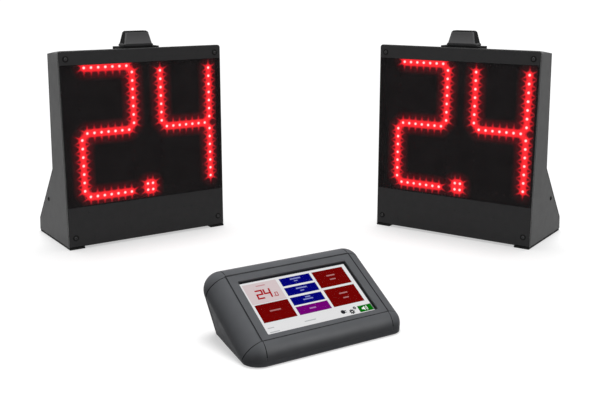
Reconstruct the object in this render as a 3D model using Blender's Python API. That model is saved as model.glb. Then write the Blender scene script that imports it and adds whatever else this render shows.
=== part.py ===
import math

import bpy
import numpy as np
from mathutils import Matrix, Vector

for old in list(bpy.data.objects):
    bpy.data.objects.remove(old)

MM = 0.001
GAP = 0.3
OVERLAP = 0.8
BEYOND = 4.0

# Places of the three units on the floor: across, away, and turn about the vertical.
LEFT_PLACE = (-0.2752, 0.1779, math.radians(33.8))
RIGHT_PLACE = (0.2748, 0.1847, math.radians(-34.4))
CONSOLE_PLACE = (0.0416, -0.3475, math.radians(32.4))

# Everything below is in millimetres.
# Numerals: seven lamps to a segment, on one grid for both digits and the point.
LAMP_ACROSS = 12.95
LAMP_UP = 15.03
LAMPS_PER_SEGMENT = 7
SEGMENT_SPAN = 7.515
DIGIT_STEP = 11.69
POINT_ACROSS = 9.22
POINT_DOWN = 14.31
POINT_STEP = 0.774
LAMP_RADIUS = 2.5
LAMP_SHOULDER = 3.2
LAMP_LENGTH = 4.5

# Display housing, whose width and height come from the lamp grid and its margins.
LEFT_MARGIN = 36.9
RIGHT_MARGIN = 20.8
BOTTOM_ROW_HEIGHT = 88.8
TOP_MARGIN = 30.3
FOOT_HEIGHT = 4.0
SHEET_THICKNESS = 5.0
SHEET_EDGE = 0.5
WALL = 3.0
COVER_THICKNESS = 2.5
CORNER_RADIUS = 5.0
LIP_WIDTH = 6.0
LIP_ABOVE = 25.0
LIP_BELOW = 71.0
FLANGE_WIDTH = 10.0
FLANGE_THICKNESS = 2.5

# Rear outline of a display, seen from the side, as depth behind the front and height.
TOP_REAR_DEPTH = 54.8
TOP_REAR_DROP = 7.0
KINK_DEPTH = 66.8
KINK_HEIGHT = 135.0
LOW_BACK_SETBACK = 3.0
LOW_BACK_HEIGHT = 27.0
BASE_DEPTH = 160.0

# Display fasteners and feet.
SCREW_HEAD = 3.0
SCREW_HEAD_HEIGHT = 1.7
SCREW_SHANK = 1.4
SCREW_LENGTH = 10.0
HOLE_CLEARANCE = 0.35
FRONT_SCREW_INSET = 12.0
FRONT_SCREW_BELOW_TOP = 13.5
FRONT_SCREW_HEIGHT = 21.0
SIDE_SCREW_SHARE = 0.523
SIDE_SCREW_INSET = 14.9
SIDE_SCREW_LENGTH = 8.0
TAB_HALF = 12.0
TAB_REACH = 22.0
TAB_THICKNESS = 2.0
TONGUE_LENGTH = 12.0
TONGUE_ROOM = 1.0
RAIL_WIDTH = 28.0
RAIL_SETBACK = 2.0
RAIL_EDGE = 0.6

# Inside a display.
BOARD_DEPTH = 14.5
BOARD_THICKNESS = 1.6
BOARD_SIDE_ROOM = 4.0
BOARD_OVER_LIP = 13.0
STANDOFF_RADIUS = 3.0
STANDOFF_INSET = 6.0
STANDOFF_SPREAD = 0.8
CONTROL_HALF_WIDTH = 62.0
CONTROL_LOW = 186.0
CONTROL_HEIGHT = 76.0
CONTROL_STANDOFF = 9.0
CONTROL_LEG_INSET = 6.0
CONTROL_LEG_RADIUS = 2.5
DRIVER_CHIP = (22.0, 22.0, 3.0)
DRIVER_PLACE = (-40.0, 28.0)
RADIO_CHIP = (19.0, 24.0, 2.6)
RADIO_PLACE = (4.0, 36.0)
CONTROL_PLUG = (22.0, 10.0, 8.0)
CONTROL_PLUG_PLACE = (34.0, 10.0)
TRAY_HALF_WIDTH = 75.0
TRAY_FRONT = 42.0
TRAY_DEPTH = 56.0
TRAY_HEIGHT = 22.0
TRAY_WALL = 1.5
BATTERY_HEIGHT = 26.0
PACK_EDGE = 3.0
SOUNDER_ACROSS = 104.0
SOUNDER_RADIUS = 22.0
SOUNDER_DEPTH = 21.0
SOUNDER_FLARE = 3.0
SLOT_PITCH = 7.0
SLOT_HALF = 1.0
SLOT_SHARE = 0.85

# Power switch and charging socket in the upper rear of a display.
SWITCH_SHARE = 0.17
SWITCH_ACROSS = -96.0
SWITCH_HALF = (6.5, 9.5)
SWITCH_RIM = 1.3
SWITCH_RIM_HEIGHT = 2.2
SWITCH_DEPTH = 14.0
SWITCH_WAY_DEPTH = 8.0
WELL_HALF = (4.9, 8.7)
PIVOT_DEPTH = 1.4
WELL_BELOW_PIVOT = 3.4
ROCKER_ROOM = 0.4
ROCKER_HALF_LENGTH = 7.4
ROCKER_HEEL = 1.6
ROCKER_SHOULDER = 2.0
ROCKER_WAIST = 3.5
ROCKER_TIP = 5.2
ROCKER_TILT = math.radians(8.0)
PIN_RADIUS = 1.25
PIN_ROOM = 0.35
PIN_BEYOND_WELL = 0.7
SOCKET_ACROSS = -60.0
SOCKET_RADIUS = 6.0
SOCKET_RIM = 2.0
SOCKET_RIM_HEIGHT = 1.6
SOCKET_LENGTH = 9.0
SOCKET_MOUTH = (0.7, 1.4, 6.5)
SOCKET_TONGUE = (0.52, 0.35, 0.5)

# Aerial on top of a display.
AERIAL_DEPTH = 31.0
PAD_HALF_WIDTH = 45.0
PAD_HALF_DEPTH = 15.0
PAD_RISE = 1.8
PAD_EDGE = 0.8
AERIAL_HEIGHT = 26.3
AERIAL_HALF_WIDTH = 33.5
AERIAL_HALF_DEPTH = 12.5
AERIAL_CHAMFER = 5.5
AERIAL_FOOT_INSET = 0.4
AERIAL_SHOULDER_INSET = 9.5
AERIAL_ROUND_INSET = 11.0
AERIAL_HEAD_INSET = 13.5

# Console: a soft wedge with one edge radius.
EDGE_RADIUS = 23.7
TOP_SLOPE = math.radians(31.0)
FRONT_CENTRE_HEIGHT = 9.8
SHELL = 2.5
SPLIT_HEIGHT = 7.0
SHELL_BOTTOM = 1.5
BASE_RADIUS = 21.1
SIDE_DRAFT = 0.28
FRONT_DRAFT = -0.1
SCREEN_WIDTH = 165.9
SCREEN_HEIGHT = 87.0
SCREEN_FROM_SIDE = 37.5
SCREEN_FROM_FRONT = 9.2
SCREEN_FROM_REAR = 13.0
SCREEN_ROOM = 1.6
GLASS_MARGIN = 3.6
GLASS_THICKNESS = 1.8
PANEL_MARGIN = 2.0
PANEL_THICKNESS = 4.2
BRACKET_THICKNESS = 1.2
CORNER_STEPS = 5
ROUND_STEPS = 6

# Inside the console, and its button, socket, screws and feet.
BOSS_RADIUS = 4.0
BOSS_FRONT_INSET = (22.5, 26.0)
BOSS_REAR_INSET = (44.5, 23.0)
BASE_SCREW_LENGTH = 9.0
BASE_SCREW_SINK = 1.2
BASE_SCREW_HEAD = 2.6
BASE_HEAD_ROOM = 0.4
MAIN_BOARD_LEGS = 6.0
MAIN_BOARD_LEFT = -20.0
MAIN_BOARD_RIGHT = 64.0
MAIN_BOARD_DEPTH = 50.5
MAIN_BOARD_BACK_ROOM = 6.0
BOARD_LEG = 5.0
BOARD_LEG_INSET = 3.0
PROCESSOR = (18.0, 3.0)
PROCESSOR_PLACE = (20.0, 10.0)
MEMORY = (13.0, 2.6)
MEMORY_PLACE = (48.0, 14.0)
BATTERY_LEFT = -64.0
CELL_WIDTH = 40.0
CELL_BACK_ROOM = 19.0
CELL_DEPTH = 46.0
CELL_HEIGHT = 16.0
CELL_EDGE = 2.0
SPEAKER_DEPTH = 60.0
SPEAKER_RADIUS = 14.0
SPEAKER_FRAME = 4.0
SPEAKER_HEIGHT = 9.0
SPEAKER_MAGNET = 8.0
SPEAKER_SLOTS = 4
SPEAKER_SLOT_PITCH = 6.0
SPEAKER_SLOT_HALF = 1.0
SPEAKER_SLOT_SHARE = 0.65
BUTTON_ACROSS = 52.0
BUTTON_HEIGHT = 34.0
BUTTON_RADIUS = 5.6
BUTTON_TRAVEL = 1.5
BUTTON_PROUD = 2.4
BUTTON_FLANGE = 0.9
BUTTON_LIP = 1.8
BUTTON_EDGE = 0.8
BUTTON_ROOM = 0.35
BUTTON_SWITCH_HALF = 6.0
BUTTON_SWITCH_DEPTH = 8.0
DC_ACROSS = 18.0
DC_HEIGHT = 26.0
DC_RADIUS = 4.6
FOOT_STRIP_FROM_SIDE = 50.45
FOOT_STRIP_WIDTH = 8.0
FRONT_STRIP_INSET = 16.0
REAR_STRIP_INSET = 19.0

# Sizes that follow from those above.
PANEL_WIDTH = LEFT_MARGIN + (DIGIT_STEP + SEGMENT_SPAN) * LAMP_ACROSS + RIGHT_MARGIN
HALF = 0.5 * PANEL_WIDTH
TOP_ROW_HEIGHT = BOTTOM_ROW_HEIGHT + 2.0 * SEGMENT_SPAN * LAMP_UP
PANEL_TOP = TOP_ROW_HEIGHT + TOP_MARGIN
CASE_FRONT = SHEET_THICKNESS + GAP
HOLE_RADIUS = SCREW_SHANK + HOLE_CLEARANCE
CONSOLE_WIDTH = SCREEN_WIDTH + 2.0 * SCREEN_FROM_SIDE
FLAT_DEPTH = SCREEN_FROM_FRONT + SCREEN_HEIGHT + SCREEN_FROM_REAR
CONSOLE_DEPTH = 2.0 * EDGE_RADIUS + FLAT_DEPTH * math.cos(TOP_SLOPE)


def material(name, colour, metallic=0.0, roughness=0.5):
    made = bpy.data.materials.get(name)
    if made:
        return made
    made = bpy.data.materials.new(name)
    made.use_nodes = True
    shader = made.node_tree.nodes["Principled BSDF"]
    shader.inputs["Base Color"].default_value = (*colour, 1.0)
    shader.inputs["Metallic"].default_value = metallic
    shader.inputs["Roughness"].default_value = roughness
    made.diffuse_color = (*colour, 1.0)
    return made


def empty(name, place, parent=None):
    made = bpy.data.objects.new(name, None)
    bpy.context.scene.collection.objects.link(made)
    made.location = (place[0], place[1], 0.0)
    made.rotation_euler = (0.0, 0.0, place[2])
    made.parent = parent
    return made


def solid(name, shape, look, parent):
    """One object from points in millimetres and faces."""
    points, faces = shape
    mesh = bpy.data.meshes.new(name)
    scaled = [tuple(MM * value for value in point) for point in points]
    mesh.from_pydata(scaled, [], faces)
    mesh.update()
    if look:
        mesh.materials.append(look)
    made = bpy.data.objects.new(name, mesh)
    bpy.context.scene.collection.objects.link(made)
    made.parent = parent
    return made


def joined(*shapes):
    """Separate closed shapes gathered into one."""
    points = []
    faces = []
    for more_points, more_faces in shapes:
        start = len(points)
        points.extend(tuple(point) for point in more_points)
        faces.extend([start + index for index in face] for face in more_faces)
    return points, faces


def moved(shape, matrix):
    points, faces = shape
    return [tuple(matrix @ Vector(point)) for point in points], faces


def shifted(shape, x=0.0, y=0.0, z=0.0):
    points, faces = shape
    return [(point[0] + x, point[1] + y, point[2] + z) for point in points], faces


def loft(rings):
    """Closed shape through rings of equal count, each ring counter-clockwise seen from the last one."""
    count = len(rings[0])
    points = [tuple(point) for ring in rings for point in ring]
    faces = []
    for level in range(len(rings) - 1):
        low = level * count
        high = low + count
        for index in range(count):
            after = (index + 1) % count
            faces.append([low + index, low + after, high + after, high + index])
    faces.append(list(reversed(range(count))))
    top = (len(rings) - 1) * count
    faces.append([top + index for index in range(count)])
    return points, faces


def box(x0, x1, y0, y1, z0, z1):
    low = [(x0, y0, z0), (x1, y0, z0), (x1, y1, z0), (x0, y1, z0)]
    high = [(x, y, z1) for x, y, _ in low]
    return loft([low, high])


def across_prism(outline, x0, x1):
    """A side outline of depth and height, counter-clockwise seen from the right, drawn out from x0 to x1."""
    low = [(x0, y, z) for y, z in outline]
    high = [(x1, y, z) for y, z in outline]
    return loft([low, high])


def deep_prism(outline, y0, y1):
    """A front outline of across and height, counter-clockwise seen from the front, from y1 behind to y0."""
    low = [(x, y1, z) for x, z in outline]
    high = [(x, y0, z) for x, z in outline]
    return loft([low, high])


def disc(radius, sides, z, turn=0.0):
    ring = []
    for index in range(sides):
        angle = turn + 2.0 * math.pi * index / sides
        ring.append((radius * math.cos(angle), radius * math.sin(angle), z))
    return ring


def rod(radii_and_heights, sides, turn=0.0):
    """A turned shape about Z."""
    return loft([disc(radius, sides, z, turn) for radius, z in radii_and_heights])


def oblong(half_across, half_deep, z):
    """A rectangle about Z, counter-clockwise seen from above."""
    a = half_across
    b = half_deep
    return [(-a, -b, z), (a, -b, z), (a, b, z), (-a, b, z)]


def cutter(name, shape, parent):
    made = solid(name, shape, None, parent)
    made.hide_render = True
    made.display_type = "WIRE"
    return made


def boolean(target, other, operation):
    modifier = target.modifiers.new(other.name, "BOOLEAN")
    modifier.operation = operation
    modifier.solver = "EXACT"
    modifier.object = other


def bevel(target, width, segments=1):
    modifier = target.modifiers.new("edge_break", "BEVEL")
    modifier.width = width * MM
    modifier.segments = segments
    modifier.limit_method = "ANGLE"
    modifier.angle_limit = math.radians(30.0)


# Facing matrices: the shape's Z axis points the given way.
FACE_FRONT = Matrix.Rotation(math.radians(90.0), 4, "X")
FACE_REAR = Matrix.Rotation(math.radians(-90.0), 4, "X")
FACE_LEFT = Matrix.Rotation(math.radians(-90.0), 4, "Y")
FACE_RIGHT = Matrix.Rotation(math.radians(90.0), 4, "Y")
FACE_DOWN = Matrix.Rotation(math.pi, 4, "X")
QUARTER_TURN = math.radians(22.5)


def screw(length, head=SCREW_HEAD):
    """Pan-head screw along Z: the seat at zero, the shank below it."""
    return loft([
        disc(SCREW_SHANK, 8, -length),
        disc(SCREW_SHANK, 8, GAP),
        disc(head, 8, GAP),
        disc(head, 8, GAP + 0.6 * SCREW_HEAD_HEIGHT),
        disc(0.72 * head, 8, GAP + SCREW_HEAD_HEIGHT),
    ])


def hole(length, radius=HOLE_RADIUS, above=BEYOND):
    return rod([(radius, -length), (radius, above)], 8)


def crossing(first, second, third, fourth):
    """Where the line through two points meets the line through two others."""
    one = np.array(second) - np.array(first)
    two = np.array(fourth) - np.array(third)
    apart = np.array(third) - np.array(first)
    share = (apart[0] * two[1] - apart[1] * two[0]) / (one[0] * two[1] - one[1] * two[0])
    return tuple(float(value) for value in np.array(first) + share * one)


REAR_LINE = [
    (TOP_REAR_DEPTH, PANEL_TOP - TOP_REAR_DROP),
    (KINK_DEPTH, KINK_HEIGHT),
    (BASE_DEPTH - LOW_BACK_SETBACK, LOW_BACK_HEIGHT),
    (BASE_DEPTH, FOOT_HEIGHT),
]


def top_height(depth):
    share = (depth - CASE_FRONT) / (TOP_REAR_DEPTH - CASE_FRONT)
    return PANEL_TOP - share * TOP_REAR_DROP


def rear_points(inset, drop=0.0, rise=0.0):
    """The rear outline moved inwards, between the top line lowered and the bottom line raised."""
    lines = []
    for start, end in zip(REAR_LINE, REAR_LINE[1:]):
        along = np.array(end) - np.array(start)
        along = along / np.linalg.norm(along)
        inward = np.array((along[1], -along[0]))
        lines.append((np.array(start) + inset * inward, np.array(end) + inset * inward))
    top = ((CASE_FRONT, PANEL_TOP - drop), (REAR_LINE[0][0], REAR_LINE[0][1] - drop))
    bottom = ((0.0, FOOT_HEIGHT + rise), (BASE_DEPTH, FOOT_HEIGHT + rise))
    return [
        crossing(*top, *lines[0]),
        crossing(*lines[0], *lines[1]),
        crossing(*lines[1], *lines[2]),
        crossing(*lines[2], *bottom),
    ]


def side_outline(front, inset, drop=0.0, rise=0.0):
    """Counter-clockwise side outline from the bottom front corner."""
    rear = rear_points(inset, drop, rise)
    bottom = [(front, FOOT_HEIGHT + rise)]
    top = [(front, top_height(front) - drop)]
    return bottom + list(reversed(rear)) + top


def front_outline(half_width, low, high, radius, steps=3):
    """Upright rectangle with rounded top corners, counter-clockwise seen from the front."""
    ring = [(-half_width, low), (half_width, low)]
    for index in range(steps + 1):
        angle = 0.5 * math.pi * index / steps
        across = half_width - radius + radius * math.cos(angle)
        ring.append((across, high - radius + radius * math.sin(angle)))
    for index in range(steps + 1):
        angle = 0.5 * math.pi * (1 + index / steps)
        across = -half_width + radius + radius * math.cos(angle)
        ring.append((across, high - radius + radius * math.sin(angle)))
    return ring


def rear_frame(segment, share, across):
    """Matrix with its origin on the rear outline, X leftwards, Y up the face and Z out of it."""
    start = Vector((0.0, *REAR_LINE[segment]))
    end = Vector((0.0, *REAR_LINE[segment + 1]))
    up = (start - end).normalized()
    side = Vector((-1.0, 0.0, 0.0))
    matrix = Matrix((side, up, side.cross(up))).transposed().to_4x4()
    matrix.translation = end + share * (start - end) + Vector((across, 0.0, 0.0))
    return matrix


def in_metres(matrix):
    made = matrix.copy()
    made.translation = matrix.translation * MM
    return made


def segment_lamps(column):
    """Lamp places of one numeral, as steps across and down from the top left column."""
    inset = 0.5 * (SEGMENT_SPAN - (LAMPS_PER_SEGMENT - 1))
    places = []
    for index in range(LAMPS_PER_SEGMENT):
        step = inset + index
        for bar in range(3):
            places.append((column + step, bar * SEGMENT_SPAN))
        for side in range(2):
            for half in range(2):
                places.append((column + side * SEGMENT_SPAN, half * SEGMENT_SPAN + step))
    return places


def point_lamps():
    places = []
    for column in (0.0, POINT_STEP):
        for row in (0.0, POINT_STEP):
            places.append((POINT_ACROSS + column, POINT_DOWN + row))
    return places


def lamp(across, down):
    """One domed lamp standing in the board and pointing forwards."""
    base = disc(LAMP_RADIUS, 6, -OVERLAP)
    shoulder = disc(LAMP_RADIUS, 6, LAMP_SHOULDER)
    points = base + shoulder + [(0.0, 0.0, LAMP_LENGTH)]
    faces = [[5, 4, 3, 2, 1, 0]]
    for index in range(6):
        after = (index + 1) % 6
        faces.append([index, after, 6 + after, 6 + index])
        faces.append([6 + index, 6 + after, 12])
    x = LEFT_MARGIN - HALF + across * LAMP_ACROSS
    z = TOP_ROW_HEIGHT - down * LAMP_UP
    return shifted(moved((points, faces), FACE_FRONT), x, BOARD_DEPTH, z)


def build_case(unit, named, look):
    """Folded housing with a front lip and rear flanges, open at the back."""
    outline = side_outline(CASE_FRONT, COVER_THICKNESS + GAP)
    case = solid(named("case"), across_prism(outline, -HALF, HALF), look, unit)
    boolean(case, corner_rounder(unit, named("case_corners")), "INTERSECT")
    depth = COVER_THICKNESS + GAP + FLANGE_THICKNESS
    inner = side_outline(CASE_FRONT + WALL, depth, WALL, WALL)
    hollow = cutter(named("case_hollow"), across_prism(inner, WALL - HALF, HALF - WALL), unit)
    boolean(case, hollow, "DIFFERENCE")
    behind = side_outline(0.5 * TOP_REAR_DEPTH, -2.0 * BEYOND, WALL - GAP, WALL - GAP)
    reach = HALF - WALL - FLANGE_WIDTH
    opening = cutter(named("rear_opening"), across_prism(behind, -reach, reach), unit)
    boolean(case, opening, "DIFFERENCE")
    wide = HALF - LIP_WIDTH
    window = box(-wide, wide, 0.0, CASE_FRONT + WALL + BEYOND, LIP_BELOW, PANEL_TOP - LIP_ABOVE)
    boolean(case, cutter(named("front_opening"), window, unit), "DIFFERENCE")
    return case


def corner_rounder(unit, name):
    rounding = front_outline(HALF, -BEYOND, PANEL_TOP, CORNER_RADIUS)
    return cutter(name, deep_prism(rounding, -BEYOND, BASE_DEPTH + BEYOND), unit)


def build_cover(unit, named, look):
    """One folded plate over the whole back, with a top tongue and two side tabs."""
    ring = list(reversed(rear_points(0.0))) + rear_points(COVER_THICKNESS)
    cover = solid(named("rear_cover"), across_prism(ring, -HALF, HALF), look, unit)
    boolean(cover, corner_rounder(unit, named("cover_corners")), "INTERSECT")
    half_plate = 0.5 * COVER_THICKNESS
    back = TOP_REAR_DEPTH - half_plate
    front = back - TONGUE_LENGTH
    under = WALL + GAP
    tongue_side = [
        (front, top_height(front) - under - TAB_THICKNESS),
        (back, top_height(back) - under - TAB_THICKNESS),
        (back, top_height(back) - under),
        (front, top_height(front) - under),
    ]
    reach = HALF - WALL - FLANGE_WIDTH - TONGUE_ROOM
    additions = [across_prism(tongue_side, -reach, reach)]
    half_tab = 0.5 * TAB_THICKNESS
    for side in (-1.0, 1.0):
        middle = side * (HALF - WALL - GAP - half_tab)
        frame = rear_frame(1, SIDE_SCREW_SHARE, middle)
        plate = box(-half_tab, half_tab, -TAB_HALF, TAB_HALF, -TAB_REACH, -half_plate)
        additions.append(moved(plate, frame))
    boolean(cover, cutter(named("cover_tabs"), joined(*additions), unit), "UNION")
    return cover


def tab_notches():
    """Room in the housing's rear flanges for the cover's tabs."""
    notches = []
    for side in (-1.0, 1.0):
        middle = side * (HALF - WALL - GAP - 0.5 * TAB_THICKNESS)
        room = 0.5 * TAB_THICKNESS + 2.0 * GAP
        high = TAB_HALF + 2.0 * GAP
        notch = box(-room, room, -high, high, -TAB_REACH, BEYOND)
        notches.append(moved(notch, rear_frame(1, SIDE_SCREW_SHARE, middle)))
    return notches


def front_screw_places():
    across = HALF - FRONT_SCREW_INSET
    high = PANEL_TOP - FRONT_SCREW_BELOW_TOP
    return [
        (-across, high), (across, high), (across, FRONT_SCREW_HEIGHT), (-across, FRONT_SCREW_HEIGHT)
    ]


def side_screw_matrix(side):
    frame = rear_frame(1, SIDE_SCREW_SHARE, side * HALF)
    centre = frame @ Vector((0.0, 0.0, -SIDE_SCREW_INSET))
    facing = FACE_RIGHT if side > 0.0 else FACE_LEFT
    return Matrix.Translation(centre) @ facing


def build_lamp_board(unit, named, look):
    """The board with all its lamps and the stand-offs that seat it on the housing's lip."""
    side = HALF - WALL - BOARD_SIDE_ROOM
    low = LIP_BELOW - BOARD_OVER_LIP
    high = PANEL_TOP - LIP_ABOVE + BOARD_OVER_LIP
    plate = box(-side, side, BOARD_DEPTH, BOARD_DEPTH + BOARD_THICKNESS, low, high)
    board = solid(named("lamp_board"), plate, look, unit)
    places = segment_lamps(0.0) + segment_lamps(DIGIT_STEP) + point_lamps()
    lamps = [lamp(across, down) for across, down in places]
    boolean(board, cutter(named("lamps"), joined(*lamps), unit), "UNION")
    pillars = []
    length = BOARD_DEPTH - CASE_FRONT - WALL - GAP
    for z in (low + STANDOFF_INSET, high - STANDOFF_INSET):
        for share in (-STANDOFF_SPREAD, 0.0, STANDOFF_SPREAD):
            pillar = rod([(STANDOFF_RADIUS, -OVERLAP), (STANDOFF_RADIUS, length)], 6)
            pillars.append(shifted(moved(pillar, FACE_FRONT), share * side, BOARD_DEPTH, z))
    boolean(board, cutter(named("stand_offs"), joined(*pillars), unit), "UNION")


def build_control_board(unit, named, look):
    """Control board on four legs behind the lamp board, with its chips and plug."""
    back = BOARD_DEPTH + BOARD_THICKNESS
    front = back + CONTROL_STANDOFF
    side = CONTROL_HALF_WIDTH
    low = CONTROL_LOW
    high = CONTROL_LOW + CONTROL_HEIGHT
    plate = box(-side, side, front, front + BOARD_THICKNESS, low, high)
    board = solid(named("control_board"), plate, look, unit)
    face = front + BOARD_THICKNESS - OVERLAP
    parts = []
    for (wide, tall, thick), (x, rise) in (
        (DRIVER_CHIP, DRIVER_PLACE), (RADIO_CHIP, RADIO_PLACE), (CONTROL_PLUG, CONTROL_PLUG_PLACE)
    ):
        z = low + rise
        parts.append(box(x, x + wide, face, face + thick, z, z + tall))
    r = CONTROL_LEG_RADIUS
    for x in (CONTROL_LEG_INSET - side, side - CONTROL_LEG_INSET):
        for z in (low + CONTROL_LEG_INSET, high - CONTROL_LEG_INSET):
            leg = rod([(r, back + GAP), (r, front + OVERLAP)], 6)
            parts.append(shifted(moved(leg, FACE_REAR), x, 0.0, z))
    boolean(board, cutter(named("control_parts"), joined(*parts), unit), "UNION")


def build_battery(unit, named, tray_look, cell_look):
    """Open tray on the housing's floor and the pack that lies in it."""
    floor = FOOT_HEIGHT + WALL + GAP
    back = TRAY_FRONT + TRAY_DEPTH
    side = TRAY_HALF_WIDTH
    outer = box(-side, side, TRAY_FRONT, back, floor, floor + TRAY_HEIGHT)
    tray = solid(named("battery_tray"), outer, tray_look, unit)
    t = TRAY_WALL
    above = floor + TRAY_HEIGHT + BEYOND
    inner = box(t - side, side - t, TRAY_FRONT + t, back - t, floor + t, above)
    boolean(tray, cutter(named("tray_hollow"), inner, unit), "DIFFERENCE")
    r = TRAY_WALL + GAP
    low = floor + r
    pack = box(r - side, side - r, TRAY_FRONT + r, back - r, low, low + BATTERY_HEIGHT)
    bevel(solid(named("battery_pack"), pack, cell_look, unit), PACK_EDGE, 2)


def build_sounder(unit, named, look):
    """Horn behind the slots of the sloping rear."""
    frame = rear_frame(1, 0.5, SOUNDER_ACROSS)
    seat = -COVER_THICKNESS - GAP
    rings = [
        (0.55 * SOUNDER_RADIUS, seat - SOUNDER_DEPTH),
        (SOUNDER_RADIUS, seat - SOUNDER_DEPTH + SOUNDER_FLARE),
        (SOUNDER_RADIUS, seat),
    ]
    solid(named("sounder"), moved(rod(rings, 16), frame), look, unit)
    slots = []
    for index in range(-2, 3):
        level = index * SLOT_PITCH
        reach = SLOT_SHARE * math.sqrt(SOUNDER_RADIUS ** 2 - level ** 2)
        slot = box(-reach, reach, level - SLOT_HALF, level + SLOT_HALF, seat - BEYOND, BEYOND)
        slots.append(moved(slot, frame))
    return slots


def build_switch(unit, named, body_look, rocker_look):
    """Rocker switch: bezel and body, with the rocker on its own axis."""
    frame = rear_frame(0, SWITCH_SHARE, SWITCH_ACROSS)
    a, b = SWITCH_HALF
    r = SWITCH_RIM
    shape = loft([
        oblong(a, b, -SWITCH_DEPTH),
        oblong(a, b, GAP),
        oblong(a + r, b + r, GAP),
        oblong(a + r, b + r, 0.6 * SWITCH_RIM_HEIGHT),
        oblong(a + 0.3 * r, b + 0.3 * r, SWITCH_RIM_HEIGHT),
    ])
    body = solid(named("switch_body"), moved(shape, frame), body_look, unit)
    wa, wb = WELL_HALF
    well = box(-wa, wa, -wb, wb, -PIVOT_DEPTH - WELL_BELOW_PIVOT, BEYOND)
    boolean(body, cutter(named("switch_well"), moved(well, frame), unit), "DIFFERENCE")
    reach = wa + PIN_BEYOND_WELL
    way_radius = PIN_RADIUS + PIN_ROOM
    way = rod([(way_radius, -reach - GAP), (way_radius, reach + GAP)], 8, QUARTER_TURN)
    way = shifted(moved(way, FACE_RIGHT), 0.0, 0.0, -PIVOT_DEPTH)
    boolean(body, cutter(named("switch_pin_way"), moved(way, frame), unit), "DIFFERENCE")

    axis = empty(named("rocker_axis"), (0.0, 0.0, 0.0), unit)
    pivot = frame @ Matrix.Translation((0.0, 0.0, -PIVOT_DEPTH))
    axis.matrix_local = in_metres(pivot) @ Matrix.Rotation(ROCKER_TILT, 4, "X")
    end = ROCKER_HALF_LENGTH
    middle = 0.5 * end
    dip = ROCKER_WAIST + 0.25 * (ROCKER_TIP - ROCKER_WAIST)
    side = [(-middle, -ROCKER_HEEL), (middle, -ROCKER_HEEL), (end, ROCKER_SHOULDER)]
    side += [(end, ROCKER_TIP), (middle, dip), (0.0, ROCKER_WAIST), (-middle, dip)]
    side += [(-end, ROCKER_TIP), (-end, ROCKER_SHOULDER)]
    paddle = across_prism(side, ROCKER_ROOM - wa, wa - ROCKER_ROOM)
    rocker = solid(named("power_rocker"), paddle, rocker_look, axis)
    pin = rod([(PIN_RADIUS, -reach), (PIN_RADIUS, reach)], 8, QUARTER_TURN)
    boolean(rocker, cutter(named("rocker_pin"), moved(pin, FACE_RIGHT), axis), "UNION")
    return moved(box(-a - GAP, a + GAP, -b - GAP, b + GAP, -SWITCH_WAY_DEPTH, BEYOND), frame)


def build_socket(unit, name, matrix, radius, look):
    """Charging socket along Z: a rimmed barrel with a flat slot and its tongue."""
    rim = radius + SOCKET_RIM
    shape = loft([
        disc(radius, 12, -SOCKET_LENGTH),
        disc(radius, 12, GAP),
        disc(rim, 12, GAP),
        disc(rim, 12, 0.7 * SOCKET_RIM_HEIGHT),
        disc(rim - 0.3 * SOCKET_RIM_HEIGHT, 12, SOCKET_RIM_HEIGHT),
    ])
    made = solid(name, moved(shape, matrix), look, unit)
    share, high, deep = SOCKET_MOUTH
    wide = share * radius
    slot = box(-wide, wide, -high, high, -deep, BEYOND)
    boolean(made, cutter(name + "_slot", moved(slot, matrix), unit), "DIFFERENCE")
    share, high, proud = SOCKET_TONGUE
    wide = share * radius
    tongue = box(-wide, wide, -high, high, -deep - OVERLAP, proud)
    boolean(made, cutter(name + "_tongue", moved(tongue, matrix), unit), "UNION")
    reach = radius + GAP
    return moved(rod([(reach, -SOCKET_LENGTH), (reach, BEYOND)], 12), matrix)


def build_aerial(unit, named, look):
    """Aerial cover in the middle of the top, on a pad that levels the slope."""
    low = AERIAL_DEPTH - PAD_HALF_DEPTH
    high = AERIAL_DEPTH + PAD_HALF_DEPTH
    top = PANEL_TOP + PAD_RISE
    side = [(low, top_height(low) + GAP), (high, top_height(high) + GAP), (high, top), (low, top)]
    pad = across_prism(side, -PAD_HALF_WIDTH, PAD_HALF_WIDTH)
    bevel(solid(named("aerial_pad"), pad, look, unit), PAD_EDGE)

    def ring(narrow, z):
        """Chamfered rectangle whose sides stand in by narrow."""
        a = AERIAL_HALF_WIDTH - narrow
        b = AERIAL_HALF_DEPTH - 0.4 * narrow
        c = AERIAL_CHAMFER - 0.1 * narrow
        flat = [(c - a, -b), (a - c, -b), (a, c - b), (a, b - c)]
        flat += [(a - c, b), (c - a, b), (-a, b - c), (-a, c - b)]
        return [(x, y + AERIAL_DEPTH, z) for x, y in flat]

    foot = top + GAP
    head = foot + AERIAL_HEIGHT
    block = loft([
        ring(0.0, foot),
        ring(AERIAL_FOOT_INSET, foot + 0.17 * AERIAL_HEIGHT),
        ring(AERIAL_SHOULDER_INSET, head - 0.1 * AERIAL_HEIGHT),
        ring(AERIAL_ROUND_INSET, head - 0.03 * AERIAL_HEIGHT),
        ring(AERIAL_HEAD_INSET, head),
    ])
    solid(named("aerial_cover"), block, look, unit)


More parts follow.
